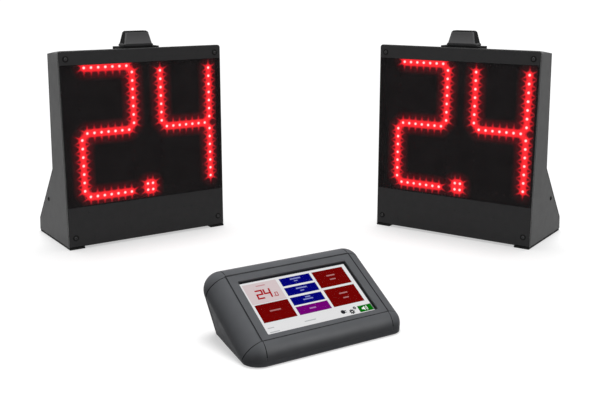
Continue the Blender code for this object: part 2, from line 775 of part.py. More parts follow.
def display_unit(prefix, place):
    unit = empty(prefix + "_display", place)
    grey = material("case_grey", (0.13, 0.13, 0.13), 0.0, 0.5)
    dark = material("cover_black", (0.03, 0.03, 0.03), 0.0, 0.55)
    smoked = material("front_sheet_black", (0.012, 0.011, 0.011), 0.0, 0.2)
    red = material("lamp_red", (0.45, 0.02, 0.02), 0.0, 0.4)
    green = material("board_green", (0.01, 0.06, 0.03), 0.0, 0.6)
    steel = material("screw_steel", (0.05, 0.05, 0.05), 0.9, 0.4)
    rubber = material("rubber_black", (0.015, 0.015, 0.015), 0.0, 0.8)
    blue = material("battery_blue", (0.02, 0.06, 0.25), 0.0, 0.5)
    zinc = material("tray_zinc", (0.5, 0.5, 0.52), 1.0, 0.4)

    def named(part):
        return prefix + "_" + part

    case = build_case(unit, named, grey)
    boolean(case, cutter(named("tab_notches"), joined(*tab_notches()), unit), "DIFFERENCE")
    cover = build_cover(unit, named, dark)
    face = front_outline(HALF, FOOT_HEIGHT, PANEL_TOP, CORNER_RADIUS)
    sheet = solid(named("front_sheet"), deep_prism(face, 0.0, SHEET_THICKNESS), smoked, unit)
    bevel(sheet, SHEET_EDGE)

    front_holes = []
    for index, (x, z) in enumerate(front_screw_places()):
        shape = shifted(moved(screw(SCREW_LENGTH), FACE_FRONT), x, 0.0, z)
        solid(named("front_screw_" + str(index + 1)), shape, steel, unit)
        drill = moved(hole(SCREW_LENGTH + 3.0), FACE_FRONT)
        front_holes.append(shifted(drill, x, 0.0, z))
    side_holes = []
    for index, side in enumerate((-1.0, 1.0)):
        matrix = side_screw_matrix(side)
        shape = moved(screw(SIDE_SCREW_LENGTH), matrix)
        solid(named("side_screw_" + str(index + 1)), shape, steel, unit)
        side_holes.append(moved(hole(SIDE_SCREW_LENGTH + 1.0), matrix))
    drills = cutter(named("case_drills"), joined(*front_holes, *side_holes), unit)
    boolean(case, drills, "DIFFERENCE")
    boolean(sheet, cutter(named("sheet_drills"), joined(*front_holes), unit), "DIFFERENCE")

    build_lamp_board(unit, named, red)
    build_control_board(unit, named, green)
    build_battery(unit, named, zinc, blue)
    slots = build_sounder(unit, named, dark)
    switch_way = build_switch(unit, named, dark, rubber)
    socket_frame = rear_frame(0, SWITCH_SHARE, SOCKET_ACROSS)
    socket_way = build_socket(unit, named("charging_socket"), socket_frame, SOCKET_RADIUS, dark)
    cuts = joined(*side_holes, *slots, switch_way, socket_way)
    boolean(cover, cutter(named("cover_cuts"), cuts, unit), "DIFFERENCE")
    build_aerial(unit, named, dark)

    for part, low, high in (
        ("left_foot_rail", -HALF, RAIL_WIDTH - HALF),
        ("right_foot_rail", HALF - RAIL_WIDTH, HALF),
    ):
        rail = box(low, high, 0.0, BASE_DEPTH - RAIL_SETBACK, 0.0, FOOT_HEIGHT - GAP)
        bevel(solid(named(part), rail, rubber, unit), RAIL_EDGE)


UP = Vector((0.0, 0.0, 1.0))
TOP_NORMAL = Vector((0.0, -math.sin(TOP_SLOPE), math.cos(TOP_SLOPE)))
UP_SLOPE = Vector((0.0, math.cos(TOP_SLOPE), math.sin(TOP_SLOPE)))


def console_column(corner, angle, inset):
    """One upright strip of the skin: points from the flat top round the edge, and its foot on the floor."""
    half = 0.5 * CONSOLE_WIDTH - EDGE_RADIUS
    near = EDGE_RADIUS
    far = CONSOLE_DEPTH - EDGE_RADIUS
    rise = (far - near) * math.tan(TOP_SLOPE)
    across = (half, half, -half, -half)[corner]
    deep = (near, far, far, near)[corner]
    height = FRONT_CENTRE_HEIGHT + (rise if corner in (1, 2) else 0.0)
    centre = Vector((across, deep, height))
    heading = Vector((math.cos(angle), math.sin(angle), 0.0))
    end_draft = FRONT_DRAFT if heading.y < 0.0 else 0.0
    draft = SIDE_DRAFT * heading.x ** 2 + end_draft * heading.y ** 2
    last = (heading - draft * UP).normalized()
    points = []
    spread = TOP_NORMAL.angle(last)
    for step in range(ROUND_STEPS + 1):
        share = step / ROUND_STEPS
        one = math.sin((1.0 - share) * spread) / math.sin(spread)
        two = math.sin(share * spread) / math.sin(spread)
        points.append(centre + (EDGE_RADIUS - inset) * (one * TOP_NORMAL + two * last))
    slack = EDGE_RADIUS - BASE_RADIUS
    side = 1.0 if across > 0.0 else -1.0
    foot_x = across + side * (slack - SIDE_DRAFT * height)
    foot_y = deep - slack + FRONT_DRAFT * height if corner in (0, 3) else deep + slack
    foot = Vector((foot_x, foot_y, 0.0)) + (BASE_RADIUS - inset) * heading
    return points, foot


def console_columns(inset):
    columns = []
    for corner in range(4):
        for step in range(CORNER_STEPS + 1):
            angle = math.radians(-90.0 + 90.0 * corner + 90.0 * step / CORNER_STEPS)
            points, foot = console_column(corner, angle, inset)
            columns.append((corner, points, foot))
    return columns


def console_wedge(inset):
    """The whole of the console's skin down to the floor, with its flat top."""
    columns = console_columns(inset)
    count = len(columns)
    points = [tuple(foot) for _, _, foot in columns]
    for level in range(ROUND_STEPS, 0, -1):
        points.extend(tuple(strip[level]) for _, strip, _ in columns)
    start = len(points)
    for corner in range(4):
        points.append(tuple(columns[corner * (CORNER_STEPS + 1)][1][0]))
    faces = [list(reversed(range(count)))]
    for level in range(ROUND_STEPS):
        lower = level * count
        upper = lower + count
        for index in range(count):
            after = (index + 1) % count
            faces.append([lower + index, lower + after, upper + after, upper + index])
    lower = ROUND_STEPS * count
    for index in range(count):
        after = (index + 1) % count
        one = start + columns[index][0]
        two = start + columns[after][0]
        face = [lower + index, lower + after, one]
        if one != two:
            face = [lower + index, lower + after, two, one]
        faces.append(face)
    faces.append([start, start + 1, start + 2, start + 3])
    return points, faces


def layer(low, high):
    """Everything of the console between two heights."""
    return box(-CONSOLE_WIDTH, CONSOLE_WIDTH, -CONSOLE_DEPTH, 2.0 * CONSOLE_DEPTH, low, high)


def screen_frame():
    """Matrix in the middle of the screen on the flat top: X across, Y up the slope, Z out."""
    origin = Vector((0.0, EDGE_RADIUS, FRONT_CENTRE_HEIGHT)) + EDGE_RADIUS * TOP_NORMAL
    matrix = Matrix((Vector((1.0, 0.0, 0.0)), UP_SLOPE, TOP_NORMAL)).transposed().to_4x4()
    matrix.translation = origin + (SCREEN_FROM_FRONT + 0.5 * SCREEN_HEIGHT) * UP_SLOPE
    return matrix


def outer_height(y):
    """Height of the skin over a depth, on the flat top or on the round rear edge."""
    origin = Vector((0.0, EDGE_RADIUS, FRONT_CENTRE_HEIGHT)) + EDGE_RADIUS * TOP_NORMAL
    centre_y = CONSOLE_DEPTH - EDGE_RADIUS
    if y < centre_y - EDGE_RADIUS * math.sin(TOP_SLOPE):
        return origin.z + (y - origin.y) * math.tan(TOP_SLOPE)
    rise = (centre_y - EDGE_RADIUS) * math.tan(TOP_SLOPE)
    return FRONT_CENTRE_HEIGHT + rise + math.sqrt(EDGE_RADIUS ** 2 - (y - centre_y) ** 2)


def boss_places():
    half = 0.5 * CONSOLE_WIDTH
    fx = half - BOSS_FRONT_INSET[0]
    fy = BOSS_FRONT_INSET[1]
    rx = half - BOSS_REAR_INSET[0]
    ry = CONSOLE_DEPTH - BOSS_REAR_INSET[1]
    return [(-fx, fy), (fx, fy), (rx, ry), (-rx, ry)]


def build_shells(unit, named, look):
    """Upper wedge with its screw bosses, and the shallow lower tray."""
    skin = console_wedge(0.0)
    above = 2.0 * CONSOLE_DEPTH
    upper = solid(named("top_shell"), skin, look, unit)
    upper_part = cutter(named("upper_part"), layer(SPLIT_HEIGHT + GAP, above), unit)
    boolean(upper, upper_part, "INTERSECT")
    lower = solid(named("bottom_shell"), skin, look, unit)
    lower_part = cutter(named("lower_part"), layer(SHELL_BOTTOM, SPLIT_HEIGHT), unit)
    boolean(lower, lower_part, "INTERSECT")
    hollow = cutter(named("shell_hollow"), console_wedge(SHELL), unit)
    inside = cutter(named("inside"), layer(SHELL_BOTTOM + SHELL, above), unit)
    boolean(hollow, inside, "INTERSECT")
    boolean(upper, hollow, "DIFFERENCE")
    boolean(lower, hollow, "DIFFERENCE")
    floor = SHELL_BOTTOM + SHELL + GAP
    posts = []
    for x, y in boss_places():
        head = outer_height(y) - 0.6 * SHELL / math.cos(TOP_SLOPE)
        posts.append(shifted(rod([(BOSS_RADIUS, floor), (BOSS_RADIUS, head)], 8), x, y))
    boolean(upper, cutter(named("bosses"), joined(*posts), unit), "UNION")
    return upper, lower


def build_screen(unit, named, upper, glass_look, panel_look, bracket_look):
    """Touch glass under the opening of the flat top, the picture panel behind it and its bracket."""
    frame = screen_frame()
    reach = 0.5 * SCREEN_WIDTH + SCREEN_ROOM
    rise = 0.5 * SCREEN_HEIGHT + SCREEN_ROOM
    opening = moved(box(-reach, reach, -rise, rise, -2.0 * BEYOND, BEYOND), frame)
    boolean(upper, cutter(named("screen_opening"), opening, unit), "DIFFERENCE")
    x = reach + GLASS_MARGIN
    y = rise + GLASS_MARGIN
    top = -SHELL - GAP
    pane = box(-x, x, -y, y, top - GLASS_THICKNESS, top)
    solid(named("touch_glass"), moved(pane, frame), glass_look, unit)
    x = 0.5 * SCREEN_WIDTH + PANEL_MARGIN
    y = 0.5 * SCREEN_HEIGHT + PANEL_MARGIN
    top -= GLASS_THICKNESS + GAP
    panel = box(-x, x, -y, y, top - PANEL_THICKNESS, top)
    solid(named("picture_panel"), moved(panel, frame), panel_look, unit)
    top -= PANEL_THICKNESS + GAP
    plate = box(-x, x, -0.6 * y, y, top - BRACKET_THICKNESS, top)
    bracket = solid(named("panel_bracket"), moved(plate, frame), bracket_look, unit)
    window = box(-0.7 * x, 0.7 * x, -0.4 * y, 0.7 * y, top - BEYOND, top + BEYOND)
    boolean(bracket, cutter(named("bracket_window"), moved(window, frame), unit), "DIFFERENCE")


def build_electronics(unit, named, board_look, cell_look, dark):
    """Board, battery and speaker on the floor of the lower shell."""
    floor = SHELL_BOTTOM + SHELL + GAP
    x0 = MAIN_BOARD_LEFT
    x1 = MAIN_BOARD_RIGHT
    y1 = CONSOLE_DEPTH - SHELL - MAIN_BOARD_BACK_ROOM
    y0 = y1 - MAIN_BOARD_DEPTH
    z = floor + MAIN_BOARD_LEGS
    board = solid(named("main_board"), box(x0, x1, y0, y1, z, z + BOARD_THICKNESS), board_look, unit)
    face = z + BOARD_THICKNESS - OVERLAP
    parts = []
    for (span, high), (right, back) in ((PROCESSOR, PROCESSOR_PLACE), (MEMORY, MEMORY_PLACE)):
        x = x0 + right
        y = y0 + back
        parts.append(box(x, x + span, y, y + span, face, face + high))
    far = BOARD_LEG_INSET + BOARD_LEG
    for x in (x0 + BOARD_LEG_INSET, x1 - far):
        for y in (y0 + BOARD_LEG_INSET, y1 - far):
            parts.append(box(x, x + BOARD_LEG, y, y + BOARD_LEG, floor, z + OVERLAP))
    boolean(board, cutter(named("board_parts"), joined(*parts), unit), "UNION")
    right = BATTERY_LEFT + CELL_WIDTH
    back = CONSOLE_DEPTH - CELL_BACK_ROOM
    cell = box(BATTERY_LEFT, right, back - CELL_DEPTH, back, floor, floor + CELL_HEIGHT)
    bevel(solid(named("battery"), cell, cell_look, unit), CELL_EDGE, 2)
    rings = [
        (SPEAKER_RADIUS, floor),
        (SPEAKER_RADIUS, floor + SPEAKER_FRAME),
        (SPEAKER_MAGNET, floor + SPEAKER_HEIGHT),
    ]
    solid(named("speaker"), shifted(rod(rings, 14), 0.0, SPEAKER_DEPTH), dark, unit)


def speaker_slots():
    slots = []
    reach = SPEAKER_SLOT_SHARE * SPEAKER_RADIUS
    half = SPEAKER_SLOT_HALF
    high = SHELL_BOTTOM + SHELL + BEYOND
    for index in range(SPEAKER_SLOTS):
        level = SPEAKER_DEPTH + SPEAKER_SLOT_PITCH * (index - 0.5 * (SPEAKER_SLOTS - 1))
        slots.append(box(-reach, reach, level - half, level + half, SHELL_BOTTOM - BEYOND, high))
    return slots


def build_button(unit, named, button_look, dark):
    """Push button in the rear wall, with its switch standing on the board behind it."""
    axis = empty(named("button_axis"), (0.0, 0.0, 0.0), unit)
    axis.location = (BUTTON_ACROSS * MM, CONSOLE_DEPTH * MM, BUTTON_HEIGHT * MM)
    wide = BUTTON_RADIUS + BUTTON_LIP
    back = -SHELL - GAP - BUTTON_FLANGE
    cap = loft([
        disc(wide, 16, back),
        disc(wide, 16, -SHELL - GAP),
        disc(BUTTON_RADIUS, 16, -SHELL - GAP),
        disc(BUTTON_RADIUS, 16, BUTTON_PROUD - BUTTON_EDGE),
        disc(BUTTON_RADIUS - BUTTON_EDGE, 16, BUTTON_PROUD),
    ])
    solid(named("power_button"), moved(cap, FACE_REAR), button_look, axis)
    h = BUTTON_SWITCH_HALF
    y1 = CONSOLE_DEPTH + back - BUTTON_TRAVEL - GAP
    y0 = y1 - BUTTON_SWITCH_DEPTH
    x = BUTTON_ACROSS
    z = BUTTON_HEIGHT
    switch = solid(named("button_switch"), box(x - h, x + h, y0, y1, z - h, z + h), dark, unit)
    floor = SHELL_BOTTOM + SHELL + GAP + MAIN_BOARD_LEGS + BOARD_THICKNESS + GAP
    leg = box(x - 0.6 * h, x + 0.6 * h, y0 + 1.0, y1 - 2.0, floor, z)
    boolean(switch, cutter(named("switch_leg"), leg, unit), "UNION")
    reach = BUTTON_RADIUS + BUTTON_ROOM
    way = rod([(reach, -2.0 * BEYOND), (reach, BEYOND)], 16)
    return shifted(moved(way, FACE_REAR), x, CONSOLE_DEPTH, z)


def build_base_screws(unit, named, upper, lower, look):
    """Four screws from below into the bosses, with their heads sunk in the base."""
    shanks = []
    heads = []
    for index, (x, y) in enumerate(boss_places()):
        seat = Matrix.Translation((x, y, SHELL_BOTTOM + BASE_SCREW_SINK)) @ FACE_DOWN
        shape = loft([
            disc(SCREW_SHANK, 8, -BASE_SCREW_LENGTH),
            disc(SCREW_SHANK, 8, GAP),
            disc(BASE_SCREW_HEAD, 8, GAP),
            disc(0.85 * BASE_SCREW_HEAD, 8, BASE_SCREW_SINK - 0.1),
        ])
        solid(named("base_screw_" + str(index + 1)), moved(shape, seat), look, unit)
        shanks.append(moved(hole(BASE_SCREW_LENGTH + 1.0, HOLE_RADIUS, 0.5), seat))
        reach = BASE_SCREW_HEAD + BASE_HEAD_ROOM
        heads.append(moved(rod([(reach, 0.0), (reach, BEYOND)], 8), seat))
    shank_holes = cutter(named("shank_holes"), joined(*shanks), unit)
    boolean(upper, shank_holes, "DIFFERENCE")
    boolean(lower, shank_holes, "DIFFERENCE")
    recesses = cutter(named("head_recesses"), joined(*heads, *speaker_slots()), unit)
    boolean(lower, recesses, "DIFFERENCE")


def console_unit(prefix, place):
    unit = empty(prefix + "_unit", place)
    plastic = material("console_grey", (0.11, 0.115, 0.125), 0.0, 0.45)
    dark = material("console_black", (0.02, 0.02, 0.02), 0.0, 0.4)
    glass = material("touch_glass_pale", (0.75, 0.76, 0.78), 0.0, 0.1)
    green = material("board_green", (0.01, 0.06, 0.03), 0.0, 0.6)
    blue = material("battery_blue", (0.02, 0.06, 0.25), 0.0, 0.5)
    steel = material("base_screw_steel", (0.3, 0.3, 0.3), 1.0, 0.35)
    rubber = material("rubber_black", (0.015, 0.015, 0.015), 0.0, 0.8)
    zinc = material("tray_zinc", (0.5, 0.5, 0.52), 1.0, 0.4)

    def named(part):
        return prefix + "_" + part

    upper, lower = build_shells(unit, named, plastic)
    build_screen(unit, named, upper, glass, dark, zinc)
    build_electronics(unit, named, green, blue, dark)
    button_way = build_button(unit, named, rubber, dark)
    socket_at = Matrix.Translation((DC_ACROSS, CONSOLE_DEPTH, DC_HEIGHT)) @ FACE_REAR
    socket_way = build_socket(unit, named("charging_socket"), socket_at, DC_RADIUS, dark)
    rear_cuts = cutter(named("rear_cuts"), joined(button_way, socket_way), unit)
    boolean(upper, rear_cuts, "DIFFERENCE")
    build_base_screws(unit, named, upper, lower, steel)
    behind = CONSOLE_DEPTH - REAR_STRIP_INSET
    for part, middle in (("front_foot", FRONT_STRIP_INSET), ("rear_foot", behind)):
        near = middle - 0.5 * FOOT_STRIP_WIDTH
        far = middle + 0.5 * FOOT_STRIP_WIDTH
        reach = 0.5 * CONSOLE_WIDTH - FOOT_STRIP_FROM_SIDE
        strip = box(-reach, reach, near, far, 0.0, SHELL_BOTTOM - GAP)
        solid(named(part), strip, rubber, unit)


display_unit("left", LEFT_PLACE)
display_unit("right", RIGHT_PLACE)
console_unit("console", CONSOLE_PLACE)
bpy.context.view_layer.update()
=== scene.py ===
import math

import bpy
import numpy as np
from mathutils import Matrix, Vector


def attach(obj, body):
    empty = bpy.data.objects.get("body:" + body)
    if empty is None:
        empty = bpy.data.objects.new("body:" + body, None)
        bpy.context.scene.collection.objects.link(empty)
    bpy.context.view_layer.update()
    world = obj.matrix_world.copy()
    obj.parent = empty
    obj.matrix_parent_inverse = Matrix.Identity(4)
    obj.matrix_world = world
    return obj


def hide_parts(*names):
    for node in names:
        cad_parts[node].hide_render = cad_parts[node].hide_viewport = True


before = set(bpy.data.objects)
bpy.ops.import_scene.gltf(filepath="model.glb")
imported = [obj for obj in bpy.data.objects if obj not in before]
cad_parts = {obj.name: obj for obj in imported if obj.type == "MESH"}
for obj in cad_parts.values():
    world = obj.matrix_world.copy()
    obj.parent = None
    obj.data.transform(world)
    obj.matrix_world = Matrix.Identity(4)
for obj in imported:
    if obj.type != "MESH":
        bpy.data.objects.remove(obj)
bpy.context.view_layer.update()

MM = 0.001
GAP = 0.3
BODY = "set"

# Places of the three units on the floor: across, away, and turn about the vertical.
LEFT_PLACE = (-0.2752, 0.1779, math.radians(33.8))
RIGHT_PLACE = (0.2748, 0.1847, math.radians(-34.4))
CONSOLE_PLACE = (0.0416, -0.3475, math.radians(32.4))

# Photograph: 54 mm lens on a 36 mm sensor, looking slightly down.
CAMERA_PLACE = (-0.0004, -1.4173, 0.4545)
CAMERA_DOWN = math.radians(13.52)
CAMERA_LENS = 54.0
CAMERA_SENSOR = 36.0
CAMERA_REACH = 200.0

# Studio: pale floor, soft sun overhead, even world, and a sheen for the console's edges.
FLOOR_REACH = 60000.0
FLOOR_COLOUR = (0.58, 0.58, 0.58)
FLOOR_BOUNCE = (0.1, 0.1, 0.1)
FLOOR_LIFT = 0.5
AMBIENT = 0.28
SUN_STRENGTH = 2.3
SUN_SPREAD = math.radians(28.0)
SUN_TRAVEL = Vector((0.0, -0.12, -1.0))
SHEEN_STRENGTH = 16.0
SHEEN_TRAVEL = Vector((-0.7, 0.42, -0.44))

# Seven segments: both ends in half numerals across and up, and the segments of each numeral.
SEGMENTS = {
    "a": ((0, 2), (1, 2)),
    "g": ((0, 1), (1, 1)),
    "d": ((0, 0), (1, 0)),
    "f": ((0, 1), (0, 2)),
    "b": ((1, 1), (1, 2)),
    "e": ((0, 0), (0, 1)),
    "c": ((1, 0), (1, 1)),
}
NUMERAL_SEGMENTS = {"2": "abged", "4": "fgbc", "0": "abcdef"}

# Lamp grid of a display, in millimetres and in steps of the grid.
LAMP_ACROSS = 12.95
LAMP_UP = 15.03
LAMPS_PER_SEGMENT = 7
SEGMENT_SPAN = 7.515
DIGIT_STEP = 11.69
POINT_ACROSS = 9.22
POINT_DOWN = 14.31
POINT_STEP = 0.774
LAMP_RADIUS = 2.5
LAMP_FLANGE = 2.9
LAMP_LENGTH = 4.5
LAMP_SIDES = 14
FLANGE_HEIGHT = 0.9
SINK = 0.2

# Light round a lamp: a full body, a star of six rays with two of them upright, and a haze.
BODY_REACH = 7.8
BODY_DIM = 0.28
BODY_FULL = 0.72
STAR_BODY = 7.0
STAR_RAY = 12.2
STAR_LEVEL = 0.9
STAR_STRETCH = 1.1
RAY_STEP = math.radians(60.0)
RAY_START = math.radians(90.0)
RAY_SHARPNESS = 2.0
STAR_FADE = 0.8
CORE_RADIUS = 1.5
CORE_EDGE = 1.5
HAZE_REACH = 19.0
HAZE_LEVEL = 0.2
GLOW_REACH = 24.0
GLOW_DEPTH = 9.6
GLOW_STEP = 1.0
GLOW_MARGIN = 6.0
GLOW_FADE = 6.0
HAZE_FULL = 2.2
STAR_PEAK = 0.7

# Display housing.
LEFT_MARGIN = 36.9
RIGHT_MARGIN = 20.8
BOTTOM_ROW_HEIGHT = 88.8
TOP_MARGIN = 30.3
FOOT_HEIGHT = 4.0
SHEET_THICKNESS = 5.0
SHEET_EDGE = 1.3
CORNER_RADIUS = 5.0
LOWER_BAND_TOP = 74.6
UPPER_BAND_BOTTOM = 321.2
WALL = 3.0
LIP_ABOVE = 25.0
LIP_BELOW = 71.0
BOARD_DEPTH = 14.5
BOARD_THICKNESS = 1.6
BOARD_SIDE_ROOM = 4.0
BOARD_OVER_LIP = 13.0
STANDOFF_RADIUS = 3.0
STANDOFF_INSET = 6.0
STANDOFF_SPREAD = 0.8
TOP_REAR = (54.8, 7.0)
KINK = (66.8, 135.0)
SWITCH_SHARE = 0.17
SOCKET_ACROSS = -60.0
SOCKET_RADIUS = 6.0
SOCKET_DEPTH = 9.0
SOCKET_RIM = 2.0
SOCKET_MOUTH = 0.72
SOCKET_FACE = 1.6
CASE_BEVEL = 0.9

# Aerial cover on top of a display.
AERIAL_DEPTH = 31.0
AERIAL_HEIGHT = 26.3
AERIAL_SKIRT = (28.2, 13.6, 3.4)
AERIAL_BASE = (26.3, 13.0)
AERIAL_HEAD = (21.8, 9.4)
AERIAL_CHAMFER = 2.2
AERIAL_STEP = 1.2
AERIAL_CROWN = (2.6, 1.8, 2.4)
AERIAL_BEVEL = 0.9
PAD_BEVEL = 0.4
PAD_HALF_WIDTH = 38.0
PAD_HALF_DEPTH = 14.6
PAD_RISE = 1.8

# Console: a soft wedge with one edge radius.
CONSOLE_WIDTH = 240.9
CONSOLE_DEPTH = 141.003
EDGE_RADIUS = 23.7
TOP_SLOPE = math.radians(31.0)
FRONT_CENTRE_HEIGHT = 9.8
SHELL = 2.5
SPLIT_HEIGHT = 7.0
SHELL_BOTTOM = 1.5
BASE_RADIUS = 21.1
SIDE_DRAFT = 0.28
FRONT_DRAFT = -0.1
SCREEN_WIDTH = 165.9
SCREEN_HEIGHT = 87.0
SCREEN_FROM_FRONT = 9.2
SCREEN_ROOM = 1.6
GLASS_THICKNESS = 1.8
PANEL_MARGIN = 2.0
PANEL_THICKNESS = 4.2
CORNER_STEPS = 18
ROUND_STEPS = 18
GROOVE_DEPTH = 0.7
GROOVE_HALF = 0.8
OPENING_CHAMFER = 0.4
OPENING_RADIUS = 1.2
OPENING_FLARE = 4.0
CUT_REACH = 8.0
SAME_POINT = 2e-6
BUTTON_ACROSS = 52.0
BUTTON_HEIGHT = 34.0
BUTTON_RADIUS = 5.6
BUTTON_FLANGE = 0.9
BUTTON_PROUD = 2.4
BUTTON_RIM = 1.8
BUTTON_ROOM = 0.35
BUTTON_CROWN = ((0.0, 0.8), (0.25, 0.25), (0.8, 0.0), (1.4, 0.0), (2.8, 0.35), (5.5, 0.5))
DC_ACROSS = 18.0
DC_HEIGHT = 26.0
DC_RADIUS = 4.6

# Fasteners.
SCREW_SHANK = 1.4
SCREW_HEAD = 3.0
SCREW_HEAD_HEIGHT = 1.7
SCREW_LENGTH = 10.0
SIDE_SCREW_LENGTH = 8.0
SCREW_SIDES = 24
HEAD_EDGE = 0.3
HEX_REACH = 1.15
HEX_WALL = 0.35
HEX_DEPTH = 1.1
WASHER_RADIUS = 5.4
SIDE_WASHER_RADIUS = 4.0
WASHER_EDGE = 0.15

# Colours are linear. Moulded finishes: name, colour, roughness, scale and depth of the grain,
# variation and specular level.
WHITE = (1.0, 1.0, 1.0, 1.0)
BLACK = (0.0, 0.0, 0.0, 1.0)
WINDOW_BLACK = (0.128, 0.118, 0.122)
MOULDED = {
    "case": ("powder_coat_grey", (0.31, 0.31, 0.312), 0.6, 2600.0, 0.035, 0.03, 0.12),
    "case_edge": ("powder_coat_edge", (0.05, 0.05, 0.051), 0.6, 2600.0, 0.02, 0.05, 0.05),
    # Black coat of the rear cover; on the aerial's skirt it is painted shade at the foot of the block.
    "cover": ("powder_coat_black", (0.05, 0.05, 0.051), 0.55, 2600.0, 0.035, 0.05, 0.15),
    "band": ("band_charcoal", (0.086, 0.086, 0.088), 0.32, 1800.0, 0.006, 0.04, 0.12),
    "sheet_edge": ("sheet_edge_black", (0.02, 0.02, 0.02), 0.3, 900.0, 0.01, 0.1, 0.2),
    "lamp_board": ("board_matte_black", (0.006, 0.006, 0.006), 0.7, 900.0, 0.03, 0.15, 0.1),
    "aerial": ("aerial_plastic", (0.18, 0.18, 0.183), 0.5, 2200.0, 0.03, 0.04, 0.12),
    # Lighter copy of the aerial's plastic on its corners: a painted highlight.
    "aerial_painted_highlight": ("aerial_corner_painted_highlight", (0.24, 0.24, 0.243), 0.45, 2200.0, 0.02, 0.04, 0.15),
    "console": ("console_plastic", (0.126, 0.130, 0.139), 0.48, 2400.0, 0.03, 0.03, 0.03),
    # Darker copy of the console's plastic, laid in its grooves as painted shade.
    "groove": ("console_groove_painted_shade", (0.035, 0.036, 0.04), 0.7, 2400.0, 0.02, 0.05, 0.05),
    "bolt": ("black_oxide", (0.045, 0.045, 0.047), 0.35, 1600.0, 0.01, 0.15, 0.4),
    "washer": ("washer_black", (0.036, 0.036, 0.036), 0.6, 2000.0, 0.02, 0.1, 0.08),
    "seal": ("dull_black", (0.016, 0.016, 0.016), 0.7, 2000.0, 0.02, 0.1, 0.05),
    "black": ("black_plastic", (0.018, 0.018, 0.018), 0.35, 2000.0, 0.02, 0.1, 0.5),
    "rocker": ("rocker_plastic", (0.012, 0.012, 0.013), 0.25, 1500.0, 0.012, 0.1, 0.5),
    "rubber": ("foot_rubber", (0.03, 0.03, 0.03), 0.8, 1400.0, 0.06, 0.12, 0.2),
    "wrap": ("shrink_wrap_blue", (0.02, 0.06, 0.26), 0.3, 300.0, 0.15, 0.1, 0.5),
}

# Sizes that follow from those above.
PANEL_WIDTH = LEFT_MARGIN + (DIGIT_STEP + SEGMENT_SPAN) * LAMP_ACROSS + RIGHT_MARGIN
HALF = 0.5 * PANEL_WIDTH
TOP_ROW_HEIGHT = BOTTOM_ROW_HEIGHT + 2.0 * SEGMENT_SPAN * LAMP_UP
PANEL_TOP = TOP_ROW_HEIGHT + TOP_MARGIN
CASE_FRONT = SHEET_THICKNESS + GAP

FACE_FRONT = Matrix.Rotation(math.radians(90.0), 4, "X")
FACE_REAR = Matrix.Rotation(math.radians(-90.0), 4, "X")
FACE_LEFT = Matrix.Rotation(math.radians(-90.0), 4, "Y")
FACE_RIGHT = Matrix.Rotation(math.radians(90.0), 4, "Y")
ACROSS = Vector((1.0, 0.0, 0.0))
UP = Vector((0.0, 0.0, 1.0))
TOP_NORMAL = Vector((0.0, -math.sin(TOP_SLOPE), math.cos(TOP_SLOPE)))
UP_SLOPE = Vector((0.0, math.cos(TOP_SLOPE), math.sin(TOP_SLOPE)))


# Shapes: points in millimetres, and faces.
def joined(*shapes):
    points = []
    faces = []
    for more_points, more_faces in shapes:
        start = len(points)
        points.extend(tuple(point) for point in more_points)
        faces.extend([start + index for index in face] for face in more_faces)
    return points, faces


def numbered(*pairs):
    """Several shapes as one, and the number of the material of each of its faces."""
    numbers = [number for (_, faces), number in pairs for _ in faces]
    return joined(*[shape for shape, _ in pairs]), numbers


def moved(shape, matrix):
    points, faces = shape
    return [tuple(matrix @ Vector(point)) for point in points], faces


def shifted(shape, x, y, z):
    return moved(shape, Matrix.Translation((x, y, z)))


def loft(rings):
    """Closed shape through rings of equal count, each ring counter-clockwise seen from the last one."""
    count = len(rings[0])
    points = [tuple(point) for ring in rings for point in ring]
    faces = []
    for level in range(len(rings) - 1):
        low = level * count
        high = low + count
        for index in range(count):
            after = (index + 1) % count
            faces.append([low + index, low + after, high + after, high + index])
    faces.append(list(reversed(range(count))))
    top = (len(rings) - 1) * count
    faces.append([top + index for index in range(count)])
    return points, faces


def box(x0, x1, y0, y1, z0, z1):
    low = [(x0, y0, z0), (x1, y0, z0), (x1, y1, z0), (x0, y1, z0)]
    high = [(x, y, z1) for x, y, _ in low]
    return loft([low, high])


def disc(radius, sides, z):
    ring = []
    for index in range(sides):
        angle = 2.0 * math.pi * index / sides
        ring.append((radius * math.cos(angle), radius * math.sin(angle), z))
    return ring


def turned(profile, sides=32):
    """A turned shape about Z from pairs of radius and height, upwards on the outside."""
    return loft([disc(radius, sides, z) for radius, z in profile])


def slab(outline, low, high):
    """A flat outline, counter-clockwise seen from above, between two heights."""
    return loft([[(x, y, low) for x, y in outline], [(x, y, high) for x, y in outline]])


def arc(centre, radius, start, end, steps):
    points = []
    for index in range(steps + 1):
        angle = math.radians(start + (end - start) * index / steps)
        points.append((centre[0] + radius * math.cos(angle), centre[1] + radius * math.sin(angle)))
    return points


def rounded(half_across, half_up, radius, steps=6):
    """A rounded rectangle, counter-clockwise."""
    ring = []
    for corner in range(4):
        x = (half_across - radius) * (1, -1, -1, 1)[corner]
        y = (half_up - radius) * (1, 1, -1, -1)[corner]
        ring += arc((x, y), radius, 90.0 * corner, 90.0 * corner + 90.0, steps)
    return ring


# Materials.
def fill(node, *inputs, **named):
    """Inputs of a node in their order or by name, each a value or another node's socket."""
    places = list(enumerate(inputs))
    places += [(name.replace("_", " "), value) for name, value in named.items()]
    for place, value in places:
        if isinstance(value, bpy.types.NodeSocket):
            node.id_data.links.new(value, node.inputs[place])
        else:
            node.inputs[place].default_value = value


def new_node(tree, kind, *inputs, **named):
    made = tree.nodes.new(kind)
    fill(made, *inputs, **named)
    return made


